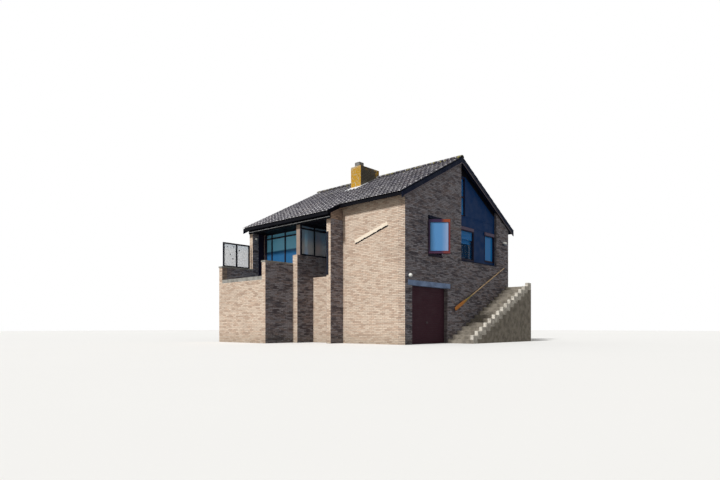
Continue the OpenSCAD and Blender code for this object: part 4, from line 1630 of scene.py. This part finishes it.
@dataclass(frozen=True)
class Blind:
    """A hanging sheet behind a pane, with slack waves down its length."""

    name: str
    axis: Axis
    place: float
    run: Span
    up: Span
    folds: int = 3
    swing: float = 0.006
    held: str = "hung"

    def build(self, finish: Finish) -> Piece:
        """Args:
            finish: Its cloth.

        Returns:
            The sheet.
        """
        Bench.clear()
        bpy.ops.mesh.primitive_grid_add(x_subdivisions=8 * self.folds, y_subdivisions=6, size=1)
        sheet = Bench.new(self.name)
        width, drop = self.run[1] - self.run[0], self.up[1] - self.up[0]
        sheet.scale = (width, drop, 1)
        Bench.settle(sheet)
        spots = Bench.points(sheet)
        share = spots[:, 0] / width + 0.5
        hang = 0.55 - spots[:, 1] / drop
        wave = self.swing * np.sin(2 * np.pi * self.folds * share + 0.6 * hang) * (0.5 + 0.5 * hang)
        along = spots[:, 0] + (self.run[0] + self.run[1]) / 2
        high = spots[:, 1] + (self.up[0] + self.up[1]) / 2
        rows = (self.place + wave, along, high) if self.axis is Axis.X else (along, self.place + wave, high)
        Bench.move(sheet, np.stack(rows, 1))
        columns = np.unique(np.round(share, 5))
        ends = np.interp(columns, *self.profile())
        length = float(np.sum(np.hypot(np.diff(columns) * width, np.diff(ends))))
        Bench.smooth(sheet, 60)
        wear(sheet, finish)
        return sheet

    def profile(self) -> tuple[np.ndarray, np.ndarray]:
        """Returns the wave's places and heights halfway down."""
        share = np.linspace(0, 1, 8 * self.folds + 1)
        return share, self.swing * 0.8 * np.sin(2 * np.pi * self.folds * share + 0.3)


@dataclass(frozen=True)
class Curtain(Blind):
    """A sheet that is gathered into deep folds."""

    swing: float = 0.02
    held: str = "gathered"


@dataclass
class Joinery:
    """Windows, the clad bay, boards and blinds."""

    gable_run: Span = GABLE_WINDOW
    gable_up: Span = (3.44, 4.80)
    sash_run: Span = (0.0, 0.83)
    sash_up: Span = (3.452, 4.77)
    sash_thick: float = 0.055
    sash_turn: float = 47.5
    hinge: Point = (4.256, -2.548, 0.0)
    cladding_x: float = 4.14
    bay: Span = BAY
    joints: Span = (4.905, 5.37)

    def swung(self, piece: Piece) -> Piece:
        """Turns a piece that is made on the shut sash, with its hinge at the origin, out with the open sash.

        Args:
            piece: The piece.

        Returns:
            The piece in place.
        """
        piece.rotation_euler = (0, 0, -math.radians(self.sash_turn))
        piece.location = self.hinge
        return Bench.settle(piece)

    def sash(self) -> None:
        """Dresses the open sash: painted face, beads, drip rail, stay and handle."""
        left, right = self.sash_run
        foot, head = self.sash_up
        outer = self.sash_thick
        run, up = (left + 0.002, right - 0.002), (foot + 0.002, head - 0.002)
        face = ring("gable_sash_face", Axis.X, outer, 1, run, up, 0.056, 0.006, 0.002)
        low, high = (outer + 0.004, left + 0.004, foot + 0.006), (outer + 0.034, right - 0.004, foot + 0.05)
        drip = Bench.block("drip", low, high, 0.004)
        with Bench.edit(drip):
            Bench.pick(drip, lambda place: place.z > foot + 0.03 and place.x > outer + 0.02)
            bpy.ops.transform.translate(value=(0, 0, -0.022))
        back = outer - 0.02
        rails = [
            Bench.block("rail", (back, left + 0.05, z), (outer + 0.003, right - 0.05, z + 0.06), 0.002)
            for z in (foot + 0.05, head - 0.11)
        ]
        face = self.swung(Bench.join("gable_sash_face", [face, drip, *rails]))
        wear(face, Palette.sash_paint)
        run, up = (left + 0.052, right - 0.052), (foot + 0.052, head - 0.052)
        beads = [ring("bead", Axis.X, place, 1, run, up, 0.018, 0.012) for place in (0.032, 0.011)]
        wear(self.swung(Bench.join("gable_sash_beads", beads)), Palette.dark_frame)
        catch = Bench.block("catch", (-0.012, right - 0.05, 4.05), (0.002, right - 0.02, 4.17), 0.003)
        at = (-0.02, right - 0.035)
        lever = Bench.tube("lever", (*at, 4.02), (*at, 4.14), 0.008, 12, 0.002)
        arm = self.swung(Bench.join("sash_catch", [catch, lever]))
        stay = Bench.tube("stay", (4.19, -1.75, 3.512), (4.52, -2.29, 3.475), 0.006, 12, 0.001)
        wear(Bench.join("gable_sash_catch", [arm, stay]), Palette.steel)

    def gable_window(self) -> None:
        """Trims the gable window's opening with sill, curtain and a dark band over its head that stands for
        the shadowed gap above the sash (painted shade), and dresses its sash.
        """
        low, high = self.gable_run
        foot, head = self.gable_up
        inner, outer = (4.235, low + 0.004, foot - 0.055), (4.30, high - 0.004, foot - 0.002)
        sill = Bench.block("gable_window_sill", inner, outer, 0.006)
        with Bench.edit(sill):
            Bench.pick(sill, lambda place: place.z > foot - 0.02 and place.x > 4.28)
            bpy.ops.transform.translate(value=(0, 0, -0.018))
        wear(sill, Palette.dark_frame)
        # Painted shade: a dark band over the opening's head stands for the shadowed gap above the open sash.
        inner, outer = (4.246, low - 0.01, head + 0.005), (4.33, high + 0.01, head + 0.155)
        shade_band = Bench.block("gable_window_shade_band", inner, outer, 0.008)
        with Bench.edit(shade_band):
            Bench.pick(shade_band, lambda place: place.z > head + 0.1 and place.x > 4.3)
            bpy.ops.transform.translate(value=(0, 0, -0.03))
        wear(shade_band, Palette.board_paint)
        run, up = (low + 0.058, high - 0.058), (foot + 0.058, head - 0.058)
        stop = ring("gable_window_stop", Axis.X, 4.10, 1, run, up, 0.016, 0.02)
        wear(stop, Palette.dark_frame)
        run, up = (low + 0.02, low + 0.32), (foot + 0.05, head + 0.05)
        Curtain("gable_curtain", Axis.X, 3.985, run, up, 4).build(Palette.blind_pale)
        self.sash()

    def panel(self, name: str, run: Span, up: Span, sloped: bool = False) -> Piece:
        """Makes one flat panel of the bay's cladding.

        Args:
            name: The piece's name.
            run: Its start and end along Y.
            up: Its foot and head.
            sloped: True where the roof's slope cuts its head.

        Returns:
            The panel.
        """
        back, face = self.cladding_x - 0.002, self.cladding_x + 0.012
        piece = Bench.block(name, (back, run[0], up[0]), (face, run[1], up[1]))
        if sloped:
            with Bench.edit(piece, whole=True):
                spot = (self.cladding_x, RIDGE_Y, WALL_TOP_Z - 0.006)
                bpy.ops.mesh.bisect(plane_co=spot, plane_no=(0, SLOPE, 1), use_fill=True, clear_outer=True)
        Bench.ease(piece, 0.003)
        return piece

    def bay_front(self) -> None:
        """Clads the bay with panels and trims its windows."""
        lower, upper = self.joints
        gap, foot, peak = 0.004, 3.445, 7.6
        left, right = self.bay[0] + 0.002, self.bay[1] - 0.002
        panels = [
            self.panel("low", run, (foot, lower - gap)) for run in ((left, -0.13), (1.0, 1.93), (2.80, right))
        ]
        panels.append(self.panel("middle", (left, right), (lower + gap, upper - gap - 0.06)))
        panels.append(self.panel("top", (0.29, right), (upper + gap - 0.06, peak), True))
        wear(Bench.join("bay_panels", panels), Palette.cladding)
        # A near-black board under the verge and a near-black top corner panel stand for the verge's shadow on
        # the cladding: painted shade.
        reach = (self.bay[1] - RIDGE_Y - 0.004) / math.cos(TILT)
        head = Bench.block("head", (4.150, 0.0, -0.198), (4.166, reach, -0.008), 0.002)
        head.rotation_euler = (-TILT, 0, 0)
        head.location = (0, RIDGE_Y, WALL_TOP_Z)
        corner = self.panel("corner", (left, 0.282), (6.97, peak), True)
        wear(Bench.join("bay_verge_shadow_boards", [Bench.settle(head), corner]), Palette.black_paint_and_shade)
        for name, run, up in (
            ("left", (-0.12, 0.99), (3.50, 4.735)), ("right", (1.94, 2.79), (3.58, 4.735)),
            ("strip", (-0.12, 0.28), (5.31, 6.96)),
        ):
            run, up = ((start - 0.012, end + 0.012) for start, end in (run, up))
            trim = ring(f"bay_trim_{name}", Axis.X, 4.15, 1, run, up, 0.03, 0.012)
            wear(trim, Palette.cladding if name == "strip" else Palette.dark_frame)
        boxes = [
            Bench.block("box", (4.148, start, 4.752), (4.215, end, 4.885), 0.012)
            for start, end in ((-0.15, 0.93), (1.9, 2.74))
        ]
        wear(Bench.join("bay_blind_boxes", boxes), Palette.blind_box)
        low, high = (self.cladding_x, self.bay[0] + 0.01, 3.405), (4.275, self.bay[1] - 0.01, 3.45)
        sill = Bench.block("bay_sill", low, high, 0.006)
        wear(sill, Palette.board_paint)
        Blind("bay_blind_right", Axis.X, 3.99, (1.97, 2.76), (3.62, 4.84), 2).build(Palette.blind_blue)
        Blind("bay_blind_left", Axis.X, 3.985, (-0.09, 0.96), (4.22, 4.84), 3).build(Palette.blind_blue)
        Curtain("bay_curtain_low", Axis.X, 3.90, (-0.14, 1.0), (3.46, 4.4), 6).build(Palette.curtain_dark)
        Blind("bay_blind_strip", Axis.X, 3.99, (-0.1, 0.26), (5.34, 6.93), 1).build(Palette.blind_blue)

    def plain_windows(self) -> None:
        """Gives the rear and far gable windows their beads, sills and blinds."""
        beads, sills = [], []
        for axis, place, out, depth, middles in (
            (Axis.Y, 3.945, 1, (3.90, 4.035), REAR_WINDOWS),
            (Axis.X, -4.195, -1, (-4.285, -4.15), FAR_WINDOWS),
        ):
            for middle in middles:
                run, wide = ((middle - half, middle + half) for half in (HALF_WINDOW, HALF_WINDOW + 0.03))
                beads.append(ring("bead", axis, place, out, run, (3.44, 4.87), 0.03, 0.012))
                sides = (depth, wide) if axis is Axis.X else (wide, depth)
                low, high = zip(*sides, (3.385, 3.43))
                sills.append(Bench.block("sill", low, high, 0.006))
        wear(Bench.join("plain_window_beads", beads), Palette.frame_paint)
        wear(Bench.join("plain_window_sills", sills), Palette.lintel)

    def build(self) -> None:
        """Builds all joinery."""
        self.gable_window()
        self.bay_front()
        self.plain_windows()
        for side, run, folds in (
            ("left", (-3.85, -3.1), 7), ("middle", (-2.2, -1.75), 5), ("right", (-1.32, -1.02), 4),
        ):
            curtain = Curtain(f"terrace_curtain_{side}", Axis.Y, -3.80, run, (2.80, 4.88), folds, 0.03)
            curtain.build(Palette.curtain_warm)
        Curtain("screen_curtain", Axis.X, -0.80, (-3.70, -3.47), (3.68, 4.72), 3).build(Palette.curtain_rose)
        Blind("screen_blind", Axis.X, -0.80, (-3.44, -3.02), (3.68, 4.72), 2).build(Palette.blind_pale)
        post = Bench.block("porch_post", (0.876, -4.712, 2.72), (0.985, -4.691, 4.43), 0.003)
        wear(post, Palette.screen_paint)
        board = Bench.block("terrace_end_board", (-4.012, -4.012, 2.72), (-3.952, -4.001, 4.92), 0.002)
        wear(board, Palette.dark_frame)
        spots = ((-5.95, 4.22), (-5.63, 4.24), (-5.81, 3.89), (-5.68, 3.70), (-5.34, 4.10))
        pads = [
            Bench.tube(f"pad{index}", (-4.146, y, z), (-4.121, y, z), 0.022 + 0.002 * index, 12, 0.002)
            for index, (y, z) in enumerate(spots)
        ]
        wear(Bench.join("windscreen_pads", pads), Palette.screen_paint)
        refinish(Palette.terrace_frame, "front_window_frames")
        refinish(Palette.dark_frame, "window_frames", "far_wing_panel")
        refinish(Palette.screen_paint, "screen_frames")
        refinish(Palette.pane, "window_glass")
        refinish(Palette.terrace_pane, "front_window_glass")
        refinish(Palette.screen_pane, "screen_glass")
        refinish(Palette.cladding, "gable_cladding")


@dataclass
class GarageDoor:
    """The ribbed leaf between its posts."""

    boards: int = 23
    groove: float = 0.006
    rail: float = 0.08
    border: float = 0.085
    handle_z: float = 0.82

    def leaf(self) -> Piece:
        """Makes the leaf of lying boards in a frame.

        Returns:
            The leaf.
        """
        low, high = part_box("garage_door_leaf")
        rise = (high.z - low.z - 2 * self.rail) / self.boards
        foot = low.z + self.rail
        board = Bench.block(
            "leaf_board", (low.x + 0.006, low.y + 0.075, foot + self.groove / 2),
            (high.x - 0.004, high.y - 0.075, foot + rise - self.groove / 2),
        )
        Bench.ease(board, 0.008, 2)
        Bench.array(board, self.boards, (0, 0, rise))
        start = (low.x + 0.012, low.y + 0.05, low.z + 0.05)
        core = Bench.block("leaf_core", start, (high.x - 0.014, high.y - 0.05, high.z - 0.05), 0.002)
        run, up = (low.y, high.y), (low.z, high.z)
        border = ring("leaf_frame", Axis.X, low.x, 1, run, up, self.border, high.x - low.x, 0.004)
        return Bench.join("garage_leaf", [border, core, board])

    def handle(self) -> Piece:
        """Makes the turning handle near the leaf's foot.

        Returns:
            The handle.
        """
        low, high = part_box("garage_door_leaf")
        x, y, z = high.x, (low.y + high.y) / 2, self.handle_z
        grip_x = x + 0.028
        parts = [
            Bench.block("plate", (x - 0.001, y - 0.03, z - 0.04), (x + 0.004, y + 0.03, z + 0.04), 0.001),
            Bench.tube("stem", (x, y, z), (x + 0.03, y, z), 0.008, 12, 0.001),
            Bench.tube("grip", (grip_x, y - 0.045, z), (grip_x, y + 0.045, z), 0.007, 12, 0.002),
        ]
        return Bench.join("garage_handle", parts)

    def build(self) -> None:
        """Builds the leaf and dresses what carries it."""
        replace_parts(wear(self.leaf(), Palette.door, "door_leaf"), "garage_door_leaf")
        wear(self.handle(), Palette.steel, "door_leaf")
        refinish(Palette.steel, "garage_door_posts", "garage_door_carriers")


@dataclass
class SideStair:
    """Worn steps beside the gable, with rough kerb blocks on their open side."""

    count: int = 15
    going: float = 0.345
    rise: float = 0.168
    start: float = -1.175
    inner: float = GABLE_X
    kerb: float = 5.25
    outer: float = 5.40
    upstand: float = 0.16
    bed: float = 0.012

    def height(self, y: float) -> float:
        """The stair's height at a place along Y."""
        return (math.floor((y - self.start) / self.going) + 1) * self.rise

    def core(self) -> Piece:
        """Makes the stepped body below the treads.

        Returns:
            The body.
        """
        Bench.clear()
        bpy.ops.mesh.primitive_grid_add(x_subdivisions=self.count, y_subdivisions=self.count, size=1)
        piece = Bench.new("stair_core")
        piece.scale = (self.count * self.going, self.count * self.rise, 1)
        Bench.settle(piece)
        piece.rotation_euler = (math.pi / 2, 0, math.pi / 2)
        piece.location = (self.inner, self.start + self.count * self.going / 2, self.count * self.rise / 2)
        Bench.settle(piece)
        with Bench.edit(piece, Pick.FACES):
            Bench.pick(piece, lambda place: place.z > self.height(place.y), Pick.FACES)
            bpy.ops.mesh.delete(type="FACE")
        with Bench.edit(piece, Pick.FACES, whole=True):
            width = self.outer - self.inner - self.bed
            bpy.ops.mesh.extrude_region_move(TRANSFORM_OT_translate={"value": (width, 0, 0)})
        Bench.outward(piece)
        with Bench.edit(piece, whole=True):
            bpy.ops.mesh.dissolve_limited(angle_limit=0.02)
        spots = Bench.points(piece)
        spots[:, 2] -= np.where(spots[:, 2] > 0.01, self.bed, 0)
        Bench.move(piece, spots)
        return piece

    def treads(self) -> Piece:
        """Makes the tread slabs, each with a worn front edge of its own.

        Returns:
            The slabs as one piece.
        """
        low = (self.inner + 0.003, self.start, self.rise - 0.055)
        high = (self.kerb + 0.01, self.start + self.going + 0.02, self.rise)
        return self.repeated(Bench.block("stair_treads", low, high), 0.014, 5, 0.006)

    def blocks(self) -> Piece:
        """Makes the rough blocks of the kerb.

        Returns:
            The blocks as one piece.
        """
        low = (self.kerb, self.start + 0.004, 0.0)
        high = (self.outer - 0.003, self.start + self.going - 0.004, self.rise + self.upstand)
        return self.repeated(Bench.block("kerb_blocks", low, high), 0.018, 9, 0.010)

    def repeated(self, master: Piece, edge: float, seed: int, rough: float) -> Piece:
        """Eases a master and repeats it up the stair, each copy worn in its own way.

        Args:
            master: The piece on the lowest step.
            edge: The width of its eased edges.
            seed: The start of the random draws.
            rough: How far its points move.

        Returns:
            The row.
        """
        with Bench.edit(master, Pick.EDGES, whole=True):
            bpy.ops.mesh.subdivide(number_cuts=3)
        Bench.ease(master, edge, 2)
        each = len(master.data.vertices)
        Bench.array(master, self.count, (0, self.going, self.rise))
        chance = np.random.default_rng(seed)
        spots = Bench.points(master).reshape(self.count, each, 3)
        spots += chance.uniform(-rough, rough, spots.shape) * np.array([0.6, 0.5, 0.6])
        spots[:, :, 2] += chance.uniform(-rough, 0, (self.count, 1))
        low = (self.inner + 0.001, self.start, 0)
        spots = np.clip(spots, low, (self.outer, self.start + self.count * self.going, np.inf))
        Bench.move(master, spots.reshape(-1, 3))
        return master

    def build(self) -> None:
        """Builds the stair."""
        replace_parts(wear(self.core(), Palette.step), "side_stair")
        wear(self.treads(), Palette.step)
        wear(self.blocks(), Palette.kerb)


@dataclass
class OarRail:
    """The oar that serves as handrail, on three brackets.

    Its widths and depths are given at distances from the blade's tip: the widths as shares of the blade's.
    """

    length: float = 4.65
    half_width: float = 0.08
    shaft: float = 0.023
    brackets: tuple[float, ...] = (1.25, 2.70, 4.15)
    widths: tuple[Span, ...] = (
        (0, 0.8), (0.02, 0.9), (0.1, 1.0), (0.45, 1.0), (0.8, 0.86), (0.96, 0.6), (1.15, 0.36), (1.4, 0.29),
        (4.3, 0.27), (4.45, 0.22), (4.6, 0.24), (4.65, 0.2),
    )
    depths: tuple[Span, ...] = (
        (0, 0.006), (0.1, 0.009), (0.6, 0.012), (0.96, 0.019), (1.2, 0.0235), (4.3, 0.0215), (4.45, 0.018),
        (4.65, 0.018),
    )

    def at(self, along: float) -> Point:
        """The point on the oar's middle line at this distance from the blade's tip."""
        x, y, z = OAR_TIP
        return (x, y + along * math.cos(OAR_TURN), z + along * math.sin(OAR_TURN))

    def oar(self) -> Piece:
        """Makes the oar: a flat blade that narrows into a round shaft, and a thinner grip.

        Returns:
            The oar.
        """
        Bench.clear()
        turn = (0, math.pi / 2, 0)
        bpy.ops.mesh.primitive_cylinder_add(vertices=16, radius=self.shaft, depth=self.length, rotation=turn)
        piece = Bench.settle(Bench.new("oar"))
        with Bench.edit(piece, Pick.FACES):
            Bench.pick(piece, lambda place: abs(place.x) < self.length / 4, Pick.FACES)
            bpy.ops.mesh.subdivide(number_cuts=60)
        spots = Bench.points(piece)
        along = spots[:, 0] + self.length / 2
        wide = np.interp(along, *zip(*self.widths)) * self.half_width
        thick = np.interp(along, *zip(*self.depths))
        radius = np.maximum(np.hypot(spots[:, 1], spots[:, 2]), 1e-6)
        depth, rise = spots[:, 1] / radius * thick, spots[:, 2] / radius * wide
        sine, cosine = math.sin(OAR_TURN), math.cos(OAR_TURN)
        spots[:, 0] = OAR_TIP[0] + depth
        spots[:, 1] = OAR_TIP[1] + along * cosine - rise * sine
        spots[:, 2] = OAR_TIP[2] + along * sine + rise * cosine
        Bench.move(piece, spots)
        Bench.outward(piece)
        Bench.smooth(piece, 50)
        return piece

    def arms(self) -> Piece:
        """Makes the brackets between wall and oar.

        Returns:
            The brackets as one piece.
        """
        parts = []
        for along in self.brackets:
            x, y, z = self.at(along)
            low = z - 0.05
            parts += [
                Bench.tube("arm", (GABLE_X, y, low), (x, y, z - 0.03), 0.009, 12, 0.002),
                Bench.tube("cup", self.at(along - 0.02), self.at(along + 0.02), 0.028, 16, 0.003),
                Bench.tube("foot", (4.249, y, low), (4.258, y, low), 0.03, 16, 0.002),
            ]
        return Bench.join("oar_brackets", parts)

    def build(self) -> None:
        """Builds the oar and its brackets."""
        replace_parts(wear(self.oar(), Palette.oar), "oar_handrail")
        wear(self.arms(), Palette.steel)


@dataclass
class Trims:
    """The tilted board under the eave, the lamps, and the strips on the terrace beam and bargeboards."""

    board_middle: Point = (2.61, FRONT_Y, 4.26)
    board_size: Point = (1.74, 0.021, 0.15)
    board_turn: float = 17.0
    globe: Span = (4.36, -3.814)
    wing_lamp: Span = (-3.955, -4.528)

    def plank(self) -> Piece:
        """Makes the bare plank with its rough lower edge.

        Returns:
            The plank in place.
        """
        width, thick, height = self.board_size
        piece = Bench.block("sign_plank", (-width / 2, -thick, -height / 2), (width / 2, 0, height / 2))
        with Bench.edit(piece, Pick.EDGES):
            Bench.pick(piece, lambda place: abs(place.x) < 0.01, Pick.EDGES)
            bpy.ops.mesh.subdivide(number_cuts=28)
        spots = Bench.points(piece)
        chance = np.random.default_rng(12)
        keys = np.round(spots[:, 0], 3)
        drops = {key: chance.uniform(0, 0.03) for key in sorted(set(keys.tolist()))}
        rough = np.array([drops[key] for key in keys.tolist()])
        spots[:, 2] += np.where(spots[:, 2] < 0, rough, -rough * 0.25)
        Bench.move(piece, spots)
        Bench.ease(piece, 0.003)
        return self.tilted(piece)

    def shadow_batten(self) -> Piece:
        """Makes the dark batten under the board's lower edge, which stands for the plank's shadow on the
        wall: painted shadow.

        Returns:
            The batten in place.
        """
        half, low = self.board_size[0] / 2, -self.board_size[2] / 2
        shadow_batten = Bench.block("sign_batten", (-half, -0.014, low - 0.024), (half, 0, low + 0.05), 0.002)
        return self.tilted(shadow_batten)

    def tilted(self, piece: Piece) -> Piece:
        """Turns a piece to the board's tilt and sets it on the wall.

        Args:
            piece: The piece.

        Returns:
            The piece in place.
        """
        piece.rotation_euler = (0, -math.radians(self.board_turn), 0)
        piece.location = (self.board_middle[0], self.board_middle[1] - 0.004, self.board_middle[2])
        return Bench.settle(piece)

    def lamps(self) -> Piece:
        """Makes the three opal lamps.

        Returns:
            The lamps as one piece.
        """
        Bench.clear()
        place = (*self.globe, 2.54)
        bpy.ops.mesh.primitive_uv_sphere_add(segments=24, ring_count=14, radius=0.072, location=place)
        globe = Bench.settle(Bench.new("globe"))
        Bench.smooth(globe, 60)
        pier = Bench.block("pier_shade", (4.262, 3.41, 4.52), (4.366, 3.65, 4.62), 0.012)
        wing = Bench.tube("wing_shade", (*self.wing_lamp, 4.645), (*self.wing_lamp, 4.745), 0.05, 20, 0.01)
        return Bench.join("lamp_shades", [globe, pier, wing])

    def lamp_feet(self) -> Piece:
        """Makes the lamps' arms and wall plates.

        Returns:
            The arms and plates as one piece.
        """
        (x, y), (wing_x, wing_y) = self.globe, self.wing_lamp
        parts = [
            Bench.tube("globe_plate", (GABLE_X, y, 2.52), (4.268, y, 2.52), 0.045, 20, 0.003),
            Bench.tube("globe_arm", (4.26, y, 2.52), (x, y, 2.48), 0.012, 12, 0.002),
            Bench.tube("globe_cup", (x, y, 2.468), (x, y, 2.495), 0.036, 20, 0.004),
            Bench.block("pier_back", (GABLE_X, 3.405, 4.46), (4.275, 3.655, 4.622), 0.004),
            Bench.block("pier_tray", (4.26, 3.403, 4.457), (4.368, 3.657, 4.517), 0.006),
            Bench.block("wing_back", (-4.017, -4.575, 4.615), (-3.995, -4.481, 4.772), 0.004),
            Bench.tube("wing_cap", (wing_x, wing_y, 4.74), (wing_x, wing_y, 4.765), 0.052, 20, 0.004),
            Bench.tube("wing_arm", (-4.0, wing_y, 4.752), (wing_x, wing_y, 4.752), 0.012, 12),
        ]
        return Bench.join("lamp_feet", parts)

    def verge_strips(self) -> Piece:
        """Makes the worn edge strips along the feet of the near bargeboards.

        Returns:
            The strips as one piece.
        """
        boards = Bench.points(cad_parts["bargeboards"])
        near = boards[boards[:, 0] > 4.3]
        strips = []
        for side, end in ((-1, near[:, 1].min()), (1, near[:, 1].max())):
            run = sorted((side * 0.13, side * abs(end - RIDGE_Y) / math.cos(TILT)))
            strip = Bench.block(f"strip{side}", (4.350, run[0], -0.196), (4.367, run[1], -0.160), 0.003)
            strip.rotation_euler = (-side * TILT, 0, 0)
            strip.location = (0, RIDGE_Y, BED_Z)
            strips.append(Bench.settle(strip))
        return Bench.join("verge_strips", strips)

    def build(self) -> None:
        """Builds the board, the lamps and the strips."""
        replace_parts(wear(self.plank(), Palette.sign), "sign_board")
        # The dark batten under the plank is a painted shadow.
        wear(self.shadow_batten(), Palette.black_paint_and_shade)
        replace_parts(wear(self.lamps(), Palette.lamp), "wall_lamps")
        wear(self.lamp_feet(), Palette.lamp_foot)
        strip = Bench.block("beam_strip", (-4.25, -4.752, 4.99), (1.105, -4.739, 5.015), 0.003)
        wear(strip, Palette.lead)
        wear(self.verge_strips(), Palette.verge)
        refinish(Palette.concrete, "garage_floor", "main_floor", "terrace_floor", "terrace_coping")
        refinish(Palette.lintel, "garage_lintel")
        refinish(Palette.column, "terrace_column")


@dataclass
class Studio:
    """Camera, light and floor, which aren't part of the house."""

    eye: Point = (15.861, -19.087, 0.658)
    lens: float = 26.16
    rise: float = 0.1206
    turn: float = 42.5
    sun_from: Point = (-0.02, -1.0, 1.05)
    sun: float = 3.2
    ambient: float = 0.34

    def camera(self) -> None:
        """Sets up the camera at the photograph's place."""
        Bench.clear()
        bpy.ops.object.camera_add(location=self.eye, rotation=(math.pi / 2, 0, math.radians(self.turn)))
        camera = bpy.context.object
        camera.name = "photo_camera"
        camera.data.lens = self.lens
        camera.data.sensor_width = 36
        camera.data.sensor_fit = "HORIZONTAL"
        camera.data.shift_y = self.rise
        camera.data.clip_end = 400
        bpy.context.scene.camera = camera

    def light(self) -> None:
        """Adds the soft key light and the plain world."""
        Bench.clear()
        bpy.ops.object.light_add(type="SUN")
        lamp = bpy.context.object
        lamp.name = "key_light"
        lamp.rotation_euler = Vector(self.sun_from).to_track_quat("Z", "Y").to_euler()
        lamp.data.energy = self.sun
        lamp.data.angle = math.radians(5)
        board = Board("studio", world=True)
        white = (1.0, 1.0, 1.0, 1.0)
        plain, seen = (
            board.node("ShaderNodeBackground", inputs={"Color": white, "Strength": strength})
            for strength in (self.ambient, 1.0)
        )
        mixed = board.node("ShaderNodeMixShader", inputs={0: board.straight(), 1: plain, 2: seen})
        board.node("ShaderNodeOutputWorld", inputs={"Surface": mixed})
        bpy.context.scene.world = board.material
        bpy.context.scene.view_settings.view_transform = "Standard"

    def floor(self) -> None:
        """Lays the pale floor."""
        Bench.clear()
        bpy.ops.mesh.primitive_plane_add(size=160, location=(0, 0, 0))
        plane = Bench.settle(Bench.new("studio_floor"))
        board = Board("studio_floor")
        cloud = board.noise(board.place(), 0.4, 2)
        pale = board.mix(cloud.between(0.3, 0.7, 0.05), shade(236, 235, 232), shade(226, 225, 222))
        board.close(board.mix(board.straight(), shade(150, 148, 144), pale), 0.9)
        plane.data.materials.append(board.material)

    def build(self) -> None:
        """Sets up camera, light and floor."""
        self.camera()
        self.light()
        self.floor()


def main() -> None:
    """Builds the house's looks, sub-assembly by sub-assembly."""
    logging.basicConfig(level=logging.INFO, format="%(name)s %(message)s")
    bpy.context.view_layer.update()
    for part in (Studio, Brickwork, Roof, Chimney, Joinery, GarageDoor, SideStair, OarRail, Trims):
        log.info("building %s", part.__name__)
        part().build()
    bpy.context.view_layer.update()


if __name__ == "__main__":
    main()
